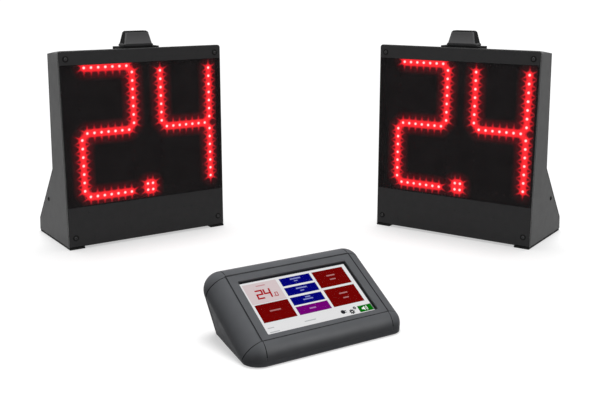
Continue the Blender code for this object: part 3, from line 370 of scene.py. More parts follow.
class Look:
    """A node material around one Principled shader."""

    def __init__(self, name, roughness=0.5, metallic=0.0, specular=0.5):
        self.material = bpy.data.materials.new(name)
        self.material.use_nodes = True
        self.tree = self.material.node_tree
        self.shader = self.tree.nodes["Principled BSDF"]
        self.output = self.tree.nodes["Material Output"]
        self.surface(Roughness=roughness, Metallic=metallic, Specular_IOR_Level=specular)
        self.place = self.node("ShaderNodeTexCoord").outputs["Object"]

    def surface(self, **named):
        fill(self.shader, **named)

    def node(self, kind, *inputs, **named):
        return new_node(self.tree, kind, *inputs, **named)

    def noise(self, scale, detail=3.0):
        made = self.node("ShaderNodeTexNoise", Vector=self.place, Scale=scale, Detail=detail)
        return made.outputs["Fac"]

    def ramp(self, factor, stops):
        made = self.node("ShaderNodeValToRGB", Fac=factor)
        elements = made.color_ramp.elements
        elements[0].position, elements[0].color = stops[0][0], (*stops[0][1], 1.0)
        elements[1].position, elements[1].color = stops[-1][0], (*stops[-1][1], 1.0)
        for position, colour in stops[1:-1]:
            elements.new(position).color = (*colour, 1.0)
        return made.outputs["Color"]

    def spread(self, factor, low, high):
        """Most of a noise's range, spread from low to high."""
        limits = {"From_Min": 0.3, "From_Max": 0.7, "To_Min": low, "To_Max": high}
        return self.node("ShaderNodeMapRange", Value=factor, **limits).outputs["Result"]

    def colour(self, colour, variation, scale):
        """The base colour, with cloudy variation of that size about it."""
        darker = tuple(value * (1.0 - variation) for value in colour)
        lighter = tuple(value * (1.0 + variation) for value in colour)
        self.surface(Base_Color=self.ramp(self.noise(scale), [(0.35, darker), (0.65, lighter)]))

    def relief(self, height, depth, strength=1.0):
        """Raised detail of that depth, in millimetres."""
        bump = self.node("ShaderNodeBump", Height=height, Strength=strength, Distance=depth * MM)
        self.surface(Normal=bump.outputs["Normal"])

    def mottle(self, low, high, scale):
        """Cloudy variation of the roughness."""
        self.surface(Roughness=self.spread(self.noise(scale), low, high))

    def see_through(self, tint, share):
        """It passes light of that tint, and shows its own surface by that share."""
        through = self.node("ShaderNodeBsdfTransparent", (*tint, 1.0))
        mix = self.node("ShaderNodeMixShader", share, through.outputs[0], self.shader.outputs[0])
        fill(self.output, Surface=mix.outputs[0])

    def shine(self, strength):
        """Light of its own, which isn't sampled as a lamp."""
        self.surface(Emission_Strength=strength)
        self.material.cycles.emission_sampling = "NONE"


def moulded(name, colour, roughness, grain_scale, grain_depth, variation, specular):
    """Moulded plastic, powder coat or rubber, with its grain and a slight unevenness."""
    look = Look(name, roughness, 0.0, specular)
    look.colour(colour, variation, 60.0)
    look.relief(look.noise(grain_scale, 2.0), grain_depth)
    look.mottle(roughness - 0.06, roughness + 0.06, 90.0)
    return look.material


def bare_metal(name, colour, roughness):
    """Plated sheet metal with a drawn grain."""
    look = Look(name, roughness, 1.0)
    look.colour(colour, 0.08, 40.0)
    stretch = look.node("ShaderNodeMapping", Vector=look.place, Scale=(12.0, 900.0, 900.0))
    stretched = stretch.outputs["Vector"]
    streaks = look.node("ShaderNodeTexNoise", Vector=stretched, Scale=1.0, Detail=2.0).outputs["Fac"]
    look.surface(Roughness=look.spread(streaks, roughness - 0.1, roughness + 0.1))
    look.relief(streaks, 0.01, 0.4)
    return look.material


def circuit(name):
    """Solder mask over copper tracks: fine lines in blocks, with a satin surface."""
    look = Look(name, 0.4)
    tracks = look.node(
        "ShaderNodeTexBrick", Vector=look.place, Scale=260.0, Mortar_Size=0.08,
        Mortar=(0.02, 0.12, 0.05, 1.0), Color1=(0.006, 0.05, 0.022, 1.0), Color2=(0.008, 0.07, 0.03, 1.0),
    )
    look.surface(Base_Color=tracks.outputs["Color"])
    look.relief(tracks.outputs["Fac"], 0.04, 0.5)
    look.mottle(0.34, 0.46, 120.0)
    return look.material


def smoked():
    """Smoked window of the front sheet: it passes a part of what lies behind it."""
    look = Look("smoked_window", 0.3, 0.0, 0.02)
    look.colour(WINDOW_BLACK, 0.12, 30.0)
    look.mottle(0.26, 0.34, 50.0)
    look.see_through((0.82, 0.8, 0.8), 0.3)
    return look.material


def clear_glass():
    """Clear coated glass over the console's picture."""
    look = Look("coated_glass", 0.06, 0.0, 0.3)
    look.colour((0.6, 0.62, 0.66), 0.05, 20.0)
    look.mottle(0.04, 0.09, 60.0)
    look.see_through((0.985, 0.99, 0.99), 0.002)
    return look.material


def glowing():
    """Light round the lit lamps by the attribute glow: faint at 0, red from a half, white-pink at 1."""
    look = Look("lamp_glow", 1.0, 0.0, 0.0)
    level = look.node("ShaderNodeAttribute")
    level.attribute_name = "glow"
    colours = look.ramp(level.outputs["Fac"], [
        (0.0, (0.1, 0.002, 0.006)),
        (0.25, (0.2, 0.004, 0.01)),
        (0.4, (0.42, 0.006, 0.012)),
        (0.58, (0.94, 0.012, 0.02)),
        (0.72, (0.98, 0.022, 0.03)),
        (0.86, (1.0, 0.35, 0.36)),
        (1.0, (1.0, 0.84, 0.84)),
    ])
    steps = ((0.0, 0.0), (0.25, 0.5), (0.42, 1.0))
    cover = look.ramp(level.outputs["Fac"], [(place, (value,) * 3) for place, value in steps])
    look.surface(Base_Color=BLACK, Emission_Color=colours, Alpha=cover)
    look.shine(3.1)
    return look.material


def lens(name, colour, light):
    """Moulded lamp body: tinted resin with a slight unevenness, and its light when it is lit."""
    look = Look(name, 0.25, 0.0, 0.2)
    look.colour(colour, 0.15, 400.0)
    look.mottle(0.2, 0.3, 500.0)
    look.surface(Emission_Color=(1.0, 0.12, 0.1, 1.0))
    look.shine(light)
    return look.material


def picture(name, colour):
    """A lit patch of the console's picture, with the fine rows of a display."""
    look = Look(name, 0.5, 0.0, 0.0)
    rows = look.node("ShaderNodeTexWave", Vector=look.place, Scale=900.0)
    rows.bands_direction = "Z"
    darker = tuple(0.98 * value for value in colour)
    lit = look.ramp(rows.outputs["Fac"], [(0.0, darker), (1.0, colour)])
    look.surface(Base_Color=BLACK, Emission_Color=lit)
    look.shine(1.0)
    return look.material


# Pieces.
def unit_matrix(place):
    return Matrix.Translation((place[0], place[1], 0.0)) @ Matrix.Rotation(place[2], 4, "Z")


def shade(mesh, angle):
    """Smooth faces, with sharp edges where they turn by more than that angle in degrees."""
    mesh.shade_smooth()
    mesh.set_sharp_from_angle(angle=math.radians(angle))


def plain_object(name, shape, matrix, looks=(), numbers=()):
    points, faces = shape
    mesh = bpy.data.meshes.new(name)
    mesh.from_pydata([tuple(MM * value for value in point) for point in points], [], faces)
    for look in looks:
        mesh.materials.append(look)
    mesh.update()
    if numbers:
        mesh.polygons.foreach_set("material_index", numbers)
    made = bpy.data.objects.new(name, mesh)
    bpy.context.scene.collection.objects.link(made)
    made.matrix_world = matrix
    return made


def dressed(made, node, body=BODY):
    """The piece rides on its body and stands for its CAD node, which is hidden."""
    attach(made, body)
    if node:
        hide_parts(node)
    return made


def piece(name, shape, matrix, looks, node=None, body=BODY, angle=30.0, numbers=()):
    """A finished piece, smooth up to that angle in degrees, or with flat faces at zero."""
    made = plain_object(name, shape, matrix, looks, numbers)
    if angle:
        shade(made.data, angle)
    return dressed(made, node, body)


def bevelled(made, width, segments=3, angle=25.0, edge_look=None):
    """Broken edges, which may have a finish of their own."""
    modifier = made.modifiers.new("edge_break", "BEVEL")
    if edge_look:
        made.data.materials.append(edge_look)
        modifier.material = len(made.data.materials) - 1
    modifier.width = width * MM
    modifier.segments = segments
    modifier.limit_method = "ANGLE"
    modifier.angle_limit = math.radians(angle)
    modifier.harden_normals = True


def boolean(target, cutter, operation):
    modifier = target.modifiers.new(cutter.name, "BOOLEAN")
    modifier.operation = operation
    modifier.solver = "EXACT"
    modifier.object = cutter


def settled(made, helpers=()):
    """The piece keeps its evaluated shape, and its helpers go."""
    bpy.context.view_layer.update()
    graph = bpy.context.evaluated_depsgraph_get()
    mesh = bpy.data.meshes.new_from_object(made.evaluated_get(graph))
    made.modifiers.clear()
    made.data = mesh
    for helper in helpers:
        bpy.data.objects.remove(helper)
    return made


def finish_node(name, looks, look, edge=0.0, edge_look=None):
    """A CAD node that stays gets its finish, and broken edges where it has sharp ones."""
    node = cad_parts[name]
    for slot in node.material_slots:
        slot.material = looks[look]
    if edge:
        bevelled(node, edge, 2, 30.0, looks.get(edge_look))


def blacken_lip(name, unit, look):
    """The housing's front lip and inner walls are black, so that nothing pale shows in the window."""
    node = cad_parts[name]
    inverse = unit.inverted()
    node.data.materials.append(look)
    black = len(node.data.materials) - 1
    near = 0.1
    for face in node.data.polygons:
        middle = (inverse @ face.center) / MM
        behind_sheet = abs(middle.x) < HALF - near and middle.y < CASE_FRONT + WALL + near
        between = FOOT_HEIGHT + near < middle.z < PANEL_TOP - WALL
        inner_wall = abs(abs(middle.x) - (HALF - WALL)) < near
        if (behind_sheet and between) or inner_wall:
            face.material_index = black


def local_middle(name, unit):
    """Middle of a CAD node's box in its unit's own frame, in millimetres."""
    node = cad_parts[name]
    inverse = unit.inverted()
    points = np.array([inverse @ vertex.co for vertex in node.data.vertices])
    return Vector(0.5 * (points.min(axis=0) + points.max(axis=0)) / MM)


# Lamps.
def segment_lamps(column):
    """Lamp places of one numeral by segment, as steps across and down."""
    inset = 0.5 * (SEGMENT_SPAN - (LAMPS_PER_SEGMENT - 1))
    steps = [inset + index for index in range(LAMPS_PER_SEGMENT)]
    places = {}
    for name, (start, end) in SEGMENTS.items():
        across = column + start[0] * SEGMENT_SPAN
        down = (2 - end[1]) * SEGMENT_SPAN
        level = start[1] == end[1]
        places[name] = [(across + step, down) if level else (across, down + step) for step in steps]
    return places


def lamp_places():
    """Lit and unlit lamps of a display, as across and height in millimetres."""
    lit = []
    unlit = []
    for index, numeral in enumerate("24"):
        for name, places in segment_lamps(index * DIGIT_STEP).items():
            chosen = lit if name in NUMERAL_SEGMENTS[numeral] else unlit
            chosen.extend(places)
    for column in (0.0, POINT_STEP):
        for row in (0.0, POINT_STEP):
            lit.append((POINT_ACROSS + column, POINT_DOWN + row))

    def placed(places):
        x0 = LEFT_MARGIN - HALF
        return [(x0 + across * LAMP_ACROSS, TOP_ROW_HEIGHT - down * LAMP_UP) for across, down in places]

    return placed(lit), placed(unlit)


def lamp_shape(x, z):
    """A round lamp with its flange and dome, standing on the board and pointing forwards."""
    straight = LAMP_LENGTH - LAMP_RADIUS
    profile = [(LAMP_FLANGE, -SINK), (LAMP_FLANGE, FLANGE_HEIGHT)]
    profile += [(LAMP_RADIUS, FLANGE_HEIGHT + 0.1), (LAMP_RADIUS, straight)]
    profile += arc((0.0, straight), LAMP_RADIUS, 16.0, 80.0, 4)
    return shifted(moved(turned(profile, LAMP_SIDES), FACE_FRONT), x, BOARD_DEPTH, z)


def lamp_board(unit, prefix, looks):
    """Black board on its stand-offs with all its lamps; gives the places of the lit ones."""
    side = HALF - WALL - BOARD_SIDE_ROOM
    low = LIP_BELOW - BOARD_OVER_LIP
    high = PANEL_TOP - LIP_ABOVE + BOARD_OVER_LIP
    board = [box(-side, side, BOARD_DEPTH, BOARD_DEPTH + BOARD_THICKNESS, low, high)]
    length = BOARD_DEPTH - CASE_FRONT - WALL - GAP
    pillar = moved(turned([(STANDOFF_RADIUS, -SINK), (STANDOFF_RADIUS, length)], 6), FACE_FRONT)
    for z in (low + STANDOFF_INSET, high - STANDOFF_INSET):
        for share in (-STANDOFF_SPREAD, 0.0, STANDOFF_SPREAD):
            board.append(shifted(pillar, share * side, BOARD_DEPTH, z))
    lit, unlit = lamp_places()
    bright = joined(*[lamp_shape(x, z) for x, z in lit])
    dull = joined(*[lamp_shape(x, z) for x, z in unlit])
    shape, numbers = numbered((joined(*board), 0), (bright, 1), (dull, 2))
    name = prefix + "_lamp_array"
    piece(name, shape, unit, looks, prefix + "_lamp_board", BODY, 35.0, numbers)
    return lit


def glow_levels(x, z, lamps):
    """Level of the light at points, from 0 to 1, where the lamps' cores are 1."""
    star = np.zeros_like(x)
    body = np.zeros_like(x)
    core = np.zeros_like(x)
    haze = np.zeros_like(x)
    for lamp_x, lamp_z in lamps:
        dx = x - lamp_x
        dz = z - lamp_z
        radius = np.hypot(dx, dz)
        narrowed = np.hypot(dx / STAR_STRETCH, dz)
        turn = (np.arctan2(dz, dx / STAR_STRETCH) - RAY_START) / RAY_STEP
        off_ray = 2.0 * np.abs(turn - np.round(turn))
        reach = STAR_BODY + STAR_RAY * (1.0 - off_ray) ** RAY_SHARPNESS
        level = np.clip((reach - narrowed) / (STAR_FADE * reach), 0.0, 1.0)
        star = np.maximum(star, STAR_LEVEL * level)
        body = body + np.exp(-((radius / BODY_REACH) ** 2))
        core = np.maximum(core, np.clip(1.0 - (radius - CORE_RADIUS) / CORE_EDGE, 0.0, 1.0))
        haze = haze + np.exp(-((radius / HAZE_REACH) ** 2))
    faint = HAZE_LEVEL * np.clip(haze / HAZE_FULL, 0.0, 1.0)
    star = np.maximum(star, np.clip((body - BODY_DIM) / (BODY_FULL - BODY_DIM), 0.0, 1.0))
    level = faint + (STAR_PEAK - faint) * star
    return level + (1.0 - level) * core


def glow_sheet(unit, prefix, lamps, look):
    """The light of a display's lit lamps, as one fine mesh in front of them."""
    xs = np.arange(GLOW_MARGIN - HALF, HALF - GLOW_MARGIN, GLOW_STEP)
    zs = np.arange(LOWER_BAND_TOP, UPPER_BAND_BOTTOM, GLOW_STEP)
    x, z = np.meshgrid(xs, zs)
    nearest = np.full_like(x, np.inf)
    for lamp_x, lamp_z in lamps:
        nearest = np.minimum(nearest, np.hypot(x - lamp_x, z - lamp_z))
    kept = nearest < GLOW_REACH
    level = glow_levels(x, z, lamps) * np.clip((GLOW_REACH - nearest) / GLOW_FADE, 0.0, 1.0)
    number = np.full(x.shape, -1)
    number[kept] = np.arange(int(kept.sum()))
    corners = np.stack([number[:-1, :-1], number[:-1, 1:], number[1:, 1:], number[1:, :-1]], axis=-1)
    quads = corners.reshape(-1, 4)
    faces = quads[(quads >= 0).all(axis=1)]
    points = np.stack([x[kept], np.full(int(kept.sum()), GLOW_DEPTH), z[kept]], axis=-1)
    made = plain_object(prefix + "_lamp_glow", (points.tolist(), faces.tolist()), unit, (look,))
    levels = made.data.attributes.new("glow", "FLOAT", "POINT")
    levels.data.foreach_set("value", level[kept].astype(np.float32))
    return dressed(made, None)


# Display.
def sheet_outline(inset):
    """Front outline of the sheet from the lower left, with points where its bands begin."""
    half = HALF - inset
    low = FOOT_HEIGHT + inset
    high = PANEL_TOP - inset
    radius = CORNER_RADIUS - inset
    ring = [(-half, low), (half, low), (half, LOWER_BAND_TOP), (half, UPPER_BAND_BOTTOM)]
    ring += arc((half - radius, high - radius), radius, 0.0, 90.0, 8)
    ring += arc((radius - half, high - radius), radius, 90.0, 180.0, 8)
    return ring + [(-half, UPPER_BAND_BOTTOM), (-half, LOWER_BAND_TOP)]


def front_sheet(unit, prefix, looks):
    """Clear-edged sheet with a painted band above and below its smoked window."""
    depths = ((SHEET_THICKNESS, SHEET_EDGE), (SHEET_THICKNESS - SHEET_EDGE, 0.0))
    depths += ((SHEET_EDGE, 0.0), (0.0, SHEET_EDGE))
    rings = [[(x, y, z) for x, z in sheet_outline(inset)] for y, inset in depths]
    points, faces = loft(rings)
    count = len(rings[0])
    sides = faces[:-2]
    front = (len(rings) - 1) * count
    lower = [0, 1, 2, count - 1]
    window = [count - 1, 2, 3, count - 2]
    upper = [count - 2] + list(range(3, count - 2))
    bands = [lower, window, upper]
    fronts = [[front + index for index in band] for band in bands]
    backs = [list(reversed(band)) for band in bands]
    shape = (points, sides + fronts + backs)
    numbers = [2] * len(sides) + [0, 1, 0] * 2
    node = prefix + "_front_sheet"
    piece(prefix + "_smoked_sheet", shape, unit, looks, node, numbers=numbers)


def hexagon(reach, z):
    """Ring of a screw's points on a hexagon with that distance from its middle to its sides."""
    sector = math.pi / 3.0
    ring = []
    for index in range(SCREW_SIDES):
        angle = 2.0 * math.pi * index / SCREW_SIDES
        turn = (angle + 0.5 * sector) % sector - 0.5 * sector
        radius = reach / math.cos(turn)
        ring.append((radius * math.cos(angle), radius * math.sin(angle), z))
    return ring


def socket_screw(length):
    """Button-head screw along Z with a hexagon socket: the seat at zero, the shank below it."""
    profile = [(SCREW_SHANK, -length), (SCREW_SHANK, GAP), (SCREW_HEAD, GAP)]
    crown = HEX_REACH + HEX_WALL
    foot = GAP + HEAD_EDGE
    last = math.sin(math.radians(75.0))
    for across, up in arc((0.0, 0.0), 1.0, 15.0, 75.0, 4):
        rise = foot + (SCREW_HEAD_HEIGHT - foot) * up / last
        profile.append((crown + (SCREW_HEAD - crown) * across, rise))
    rings = [disc(radius, SCREW_SIDES, z) for radius, z in profile]
    rings.append(hexagon(HEX_REACH, SCREW_HEAD_HEIGHT - 0.05))
    rings.append(hexagon(HEX_REACH, SCREW_HEAD_HEIGHT - HEX_DEPTH))
    return loft(rings)


def bolt(name, matrix, length, rim, unit, looks, node):
    """A socket screw on a washer."""
    washer = turned([(rim, 0.02), (rim, GAP), (rim - WASHER_EDGE, GAP + 0.1)])
    shape, numbers = numbered((socket_screw(length), 0), (washer, 1))
    piece(name, moved(shape, matrix), unit, looks, node, numbers=numbers)


def round_socket(radius):
    """Charging socket along Z: a rimmed barrel, deep round mouth and centre pin."""
    rim = radius + SOCKET_RIM
    mouth = SOCKET_MOUTH * radius
    face = SOCKET_FACE
    barrel = turned([
        (radius, -SOCKET_DEPTH), (radius, GAP), (rim, GAP), (rim, face - 0.5), (rim - 0.2, face - 0.15),
        (rim - 0.6, face), (mouth + 0.3, face), (mouth, face - 0.3), (mouth, 2.5 - SOCKET_DEPTH),
    ])
    pin = turned([(0.16 * radius, 2.0 - SOCKET_DEPTH), (0.16 * radius, -0.8), (0.08 * radius, -0.3)], 16)
    return joined(barrel, pin)


def face_frame(side, up, origin):
    """Matrix on a face: X to that side, Y up the face and Z out of it."""
    matrix = Matrix((side, up, side.cross(up))).transposed().to_4x4()
    matrix.translation = origin
    return matrix


def rear_frame(share, across):
    """Frame on the display's upper rear, which is seen from behind."""
    start = Vector((0.0, TOP_REAR[0], PANEL_TOP - TOP_REAR[1]))
    end = Vector((0.0, *KINK))
    origin = end + share * (start - end) + Vector((across, 0.0, 0.0))
    return face_frame(-ACROSS, (start - end).normalized(), origin)


def aerial_ring(a, b, z):
    """Rectangle of those half sizes with chamfered corners."""
    c = AERIAL_CHAMFER
    flat = [(c - a, -b), (a - c, -b), (a, c - b), (a, b - c)]
    flat += [(a - c, b), (c - a, b), (-a, b - c), (-a, c - b)]
    return [(x, y + AERIAL_DEPTH, z) for x, y in flat]


def aerial_shape():
    """A skirt with a tapering block on it, whose head is chamfered all round."""
    foot = PANEL_TOP + PAD_RISE + GAP
    head = foot + AERIAL_HEIGHT
    wide, deep, rise = AERIAL_SKIRT
    narrower, shallower, fall = AERIAL_CROWN
    return loft([
        aerial_ring(wide, deep, foot),
        aerial_ring(wide, deep, foot + rise),
        aerial_ring(*AERIAL_BASE, foot + rise + AERIAL_STEP),
        aerial_ring(*AERIAL_HEAD, head - fall),
        aerial_ring(AERIAL_HEAD[0] - narrower, AERIAL_HEAD[1] - shallower, head),
    ])


def aerial_numbers():
    """Material numbers: 0 for front and rear, 1 for the corners, painted lighter as a highlight, 2 for
    ends and head, 3 for the skirt, painted darker as shade at the block's foot.
    """
    around = [0, 1, 2, 1, 0, 1, 2, 1]
    return [3] * 16 + around + [2] * 8 + [3, 2]


def pad_shape():
    """Thin plate that levels the slope of the top."""
    fall = TOP_REAR[1] / (TOP_REAR[0] - CASE_FRONT)
    top = PANEL_TOP + PAD_RISE
    low = []
    for x, y in ((-1, -1), (1, -1), (1, 1), (-1, 1)):
        depth = AERIAL_DEPTH + y * PAD_HALF_DEPTH
        low.append((x * PAD_HALF_WIDTH, depth, PANEL_TOP - fall * (depth - CASE_FRONT) + GAP))
    return loft([low, [(x, y, top) for x, y, _ in low]])


# CAD nodes that stay: their finish, the width of their broken edges, and those edges' finish.
DISPLAY_FINISHES = {
    "case": ("case", CASE_BEVEL, "case_edge"),
    "rear_cover": ("cover", 0.5, "black"),
    "control_board": ("circuit",),
    "battery_tray": ("zinc",),
    "battery_pack": ("wrap",),
    "sounder": ("black",),
    "switch_body": ("black", 0.25),
    "power_rocker": ("rocker", 0.35),
    "left_foot_rail": ("rubber",),
    "right_foot_rail": ("rubber",),
}


def display(prefix, place, looks):
    unit = unit_matrix(place)

    def named(part):
        return prefix + "_" + part

    def chosen(*names):
        return [looks[name] for name in names]

    for part, finish in DISPLAY_FINISHES.items():
        finish_node(named(part), looks, *finish)
    blacken_lip(named("case"), unit, looks["lamp_board"])
    front_sheet(unit, prefix, chosen("band", "window", "sheet_edge"))
    lit = lamp_board(unit, prefix, chosen("lamp_board", "lit_lamp", "unlit_lamp"))
    glow_sheet(unit, prefix, lit, looks["glow"])

    # The corners take a painted highlight, and the skirt painted shade.
    aerial_looks = chosen("aerial", "aerial_painted_highlight", "seal", "cover")
    aerial = piece(
        named("aerial_block"), aerial_shape(), unit, aerial_looks, named("aerial_cover"),
        numbers=aerial_numbers(),
    )
    bevelled(aerial, AERIAL_BEVEL, 3, 20.0)
    node = named("aerial_pad")
    pad = piece(named("aerial_plate"), pad_shape(), unit, chosen("seal"), node)
    bevelled(pad, PAD_BEVEL)

    for index in range(1, 5):
        node = named("front_screw_" + str(index))
        at = local_middle(node, unit)
        seat = Matrix.Translation((at.x, 0.0, at.z)) @ FACE_FRONT
        name = named("front_bolt_" + str(index))
        bolt(name, seat, SCREW_LENGTH, WASHER_RADIUS, unit, chosen("bolt", "washer"), node)
    for index, side, facing in ((1, -HALF, FACE_LEFT), (2, HALF, FACE_RIGHT)):
        node = named("side_screw_" + str(index))
        at = local_middle(node, unit)
        seat = Matrix.Translation((side, at.y, at.z)) @ facing
        name = named("side_bolt_" + str(index))
        bolt(name, seat, SIDE_SCREW_LENGTH, SIDE_WASHER_RADIUS, unit, chosen("washer", "seal"), node)
    socket = moved(round_socket(SOCKET_RADIUS), rear_frame(SWITCH_SHARE, SOCKET_ACROSS))
    node = named("charging_socket")
    piece(named("round_socket"), socket, unit, chosen("black"), node)


# Console.
def corner_centre(corner):
    """Centre of the rounding of one corner: front right, rear right, rear left, front left."""
    half = 0.5 * CONSOLE_WIDTH - EDGE_RADIUS
    near = EDGE_RADIUS
    far = CONSOLE_DEPTH - EDGE_RADIUS
    rise = (far - near) * math.tan(TOP_SLOPE)
    across = (half, half, -half, -half)[corner]
    deep = (near, far, far, near)[corner]
    height = FRONT_CENTRE_HEIGHT + (rise if corner in (1, 2) else 0.0)
    return Vector((across, deep, height))


def corner_strip(corner, angle, inset, shares):
    """Points of one upright strip of the skin from the flat top round the edge, and its foot."""
    centre = corner_centre(corner)
    heading = Vector((math.cos(angle), math.sin(angle), 0.0))
    end_draft = FRONT_DRAFT if heading.y < 0.0 else 0.0
    draft = SIDE_DRAFT * heading.x ** 2 + end_draft * heading.y ** 2
    last = (heading - draft * UP).normalized()
    spread = TOP_NORMAL.angle(last)
    points = []
    for share, dip in shares:
        one = math.sin((1.0 - share) * spread) / math.sin(spread)
        two = math.sin(share * spread) / math.sin(spread)
        points.append(centre + (EDGE_RADIUS - inset - dip) * (one * TOP_NORMAL + two * last))
    slack = EDGE_RADIUS - BASE_RADIUS
    side = 1.0 if centre.x > 0.0 else -1.0
    foot_x = centre.x + side * (slack - SIDE_DRAFT * centre.z)
    foot_y = centre.y + slack
    if corner in (0, 3):
        foot_y = centre.y - slack + FRONT_DRAFT * centre.z
    return points + [Vector((foot_x, foot_y, 0.0)) + (BASE_RADIUS - inset) * heading]


def flat_corner(corner, inset, inwards):
    """A corner of the flat top, moved inwards on it."""
    centre = corner_centre(corner)
    side = 1.0 if centre.x > 0.0 else -1.0
    front = 1.0 if corner in (0, 3) else -1.0
    place = centre + (EDGE_RADIUS - inset) * TOP_NORMAL
    return place + inwards * (front * UP_SLOPE - side * ACROSS)


def skin_columns(groove):
    """Corner, angle, neighbour, share of the way to it, and dip of every strip, counter-clockwise."""
    turn = math.degrees(GROOVE_HALF / EDGE_RADIUS)
    columns = []
    for corner in range(4):
        before = (corner - 1) % 4
        after = (corner + 1) % 4
        start = -90.0 + 90.0 * corner
        to_before = GROOVE_HALF / (corner_centre(corner) - corner_centre(before)).length
        to_after = GROOVE_HALF / (corner_centre(corner) - corner_centre(after)).length
        columns.append((corner, start, before, to_before, 0.0))
        columns.append((corner, start, before, 0.0, groove))
        for step in range(CORNER_STEPS + 1):
            share = step / CORNER_STEPS
            columns.append((corner, start + turn + share * (90.0 - 2.0 * turn), before, 0.0, 0.0))
        columns.append((corner, start + 90.0, after, 0.0, groove))
        columns.append((corner, start + 90.0, after, to_after, 0.0))
    return columns


def groove_faces(groove):
    """Material number of each face of the skin: 1, the darker look that paints shade into the grooves, on
    both sides of a groove's bottom.
    """
    dips = [column[4] > 0.0 for column in skin_columns(groove)]
    count = len(dips)
    levels = ROUND_STEPS + 3
    numbers = []
    for level in range(levels):
        for index in range(count):
            beside = dips[index] or dips[(index + 1) % count]
            numbers.append(1 if beside and level > 0 or level >= levels - 2 else 0)
    return numbers + [0, 0]


def console_skin(inset, groove):
    """The whole of the console's skin down to the floor, with a fine groove along its edges."""
    border = GROOVE_HALF / EDGE_RADIUS
    shares = [(0.0, groove), (border, 0.0)]
    for step in range(1, ROUND_STEPS + 1):
        shares.append((border + (1.0 - border) * step / ROUND_STEPS, 0.0))
    rings = [[] for _ in range(len(shares) + 2)]
    for corner, degrees, other, share, dip in skin_columns(groove):
        angle = math.radians(degrees)
        levels = [(at, max(low, dip)) for at, low in shares]
        own = corner_strip(corner, angle, inset, levels)
        next_one = corner_strip(other, angle, inset, levels)
        strip = [one.lerp(two, share) for one, two in zip(own, next_one)]
        inner = flat_corner(corner, inset, GROOVE_HALF)
        inner = inner.lerp(flat_corner(other, inset, GROOVE_HALF), share)
        for level, point in enumerate([inner] + strip):
            rings[len(rings) - 1 - level].append(tuple(point))
    return loft(rings)


def merged(made):
    """The piece with its coinciding points joined."""
    weld = made.modifiers.new("weld", "WELD")
    weld.merge_threshold = SAME_POINT
    return settled(made)


def layer(low, high):
    """Everything of the console between two heights."""
    return box(-CONSOLE_WIDTH, CONSOLE_WIDTH, -CONSOLE_DEPTH, 2.0 * CONSOLE_DEPTH, low, high)


def screen_frame():
    """Frame in the middle of the screen on the flat top."""
    origin = Vector((0.0, EDGE_RADIUS, FRONT_CENTRE_HEIGHT)) + EDGE_RADIUS * TOP_NORMAL
    return face_frame(ACROSS, UP_SLOPE, origin + (SCREEN_FROM_FRONT + 0.5 * SCREEN_HEIGHT) * UP_SLOPE)


def screen_opening():
    """Cutter for the screen's opening, with a small chamfer along its edge."""
    reach = 0.5 * SCREEN_WIDTH + SCREEN_ROOM
    rise = 0.5 * SCREEN_HEIGHT + SCREEN_ROOM
    flare = OPENING_FLARE
    rings = []
    for wider, z in ((0.0, -CUT_REACH), (0.0, -OPENING_CHAMFER), (flare, flare - OPENING_CHAMFER)):
        outline = rounded(reach + wider, rise + wider, OPENING_RADIUS + wider)
        rings.append([(x, y, z) for x, y in outline])
    return moved(loft(rings), screen_frame())


def on_rear_wall(shape, across, height):
    """A shape along Z, put on the console's rear wall and pointing out of it."""
    return shifted(moved(shape, FACE_REAR), across, CONSOLE_DEPTH, height)


def console_shells(unit, looks):
    """Upper and lower shell, hollow, with the screen's opening and the holes at the rear."""
    above = 2.0 * CONSOLE_DEPTH
    skin = console_skin(0.0, GROOVE_DEPTH)
    # The faces in the grooves take the second look, which paints shade there.
    numbers = groove_faces(GROOVE_DEPTH)
    upper = merged(plain_object("console_upper_housing", skin, unit, looks, numbers))
    lower = merged(plain_object("console_lower_housing", console_skin(0.0, 0.0), unit, looks[:1]))
    hollow = merged(plain_object("hollow", console_skin(SHELL, 0.0), unit))
    inside = plain_object("inside", layer(SHELL_BOTTOM + SHELL, above), unit)
    upper_part = plain_object("upper_part", layer(SPLIT_HEIGHT + GAP, above), unit)
    lower_part = plain_object("lower_part", layer(SHELL_BOTTOM, SPLIT_HEIGHT), unit)
    opening = plain_object("opening", screen_opening(), unit)
    wide = BUTTON_RADIUS + BUTTON_ROOM
    narrow = DC_RADIUS + GAP
    button_way = turned([(wide, -CUT_REACH), (wide, CUT_REACH)])
    socket_way = turned([(narrow, -CUT_REACH), (narrow, 0.5 * CUT_REACH)])
    ways = joined(
        on_rear_wall(button_way, BUTTON_ACROSS, BUTTON_HEIGHT),
        on_rear_wall(socket_way, DC_ACROSS, DC_HEIGHT),
    )
    rear_holes = plain_object("rear_holes", ways, unit)
    boolean(hollow, inside, "INTERSECT")
    boolean(upper, upper_part, "INTERSECT")
    for cutter in (hollow, opening, rear_holes):
        boolean(upper, cutter, "DIFFERENCE")
    boolean(lower, lower_part, "INTERSECT")
    boolean(lower, hollow, "DIFFERENCE")
    settled(upper)
    settled(lower, (hollow, inside, upper_part, lower_part, opening, rear_holes))
    for made, node in ((upper, "console_top_shell"), (lower, "console_bottom_shell")):
        shade(made.data, 24.0)
        dressed(made, node)
        made.modifiers.new("even_normals", "WEIGHTED_NORMAL").keep_sharp = True
    add_sheen((upper, lower))


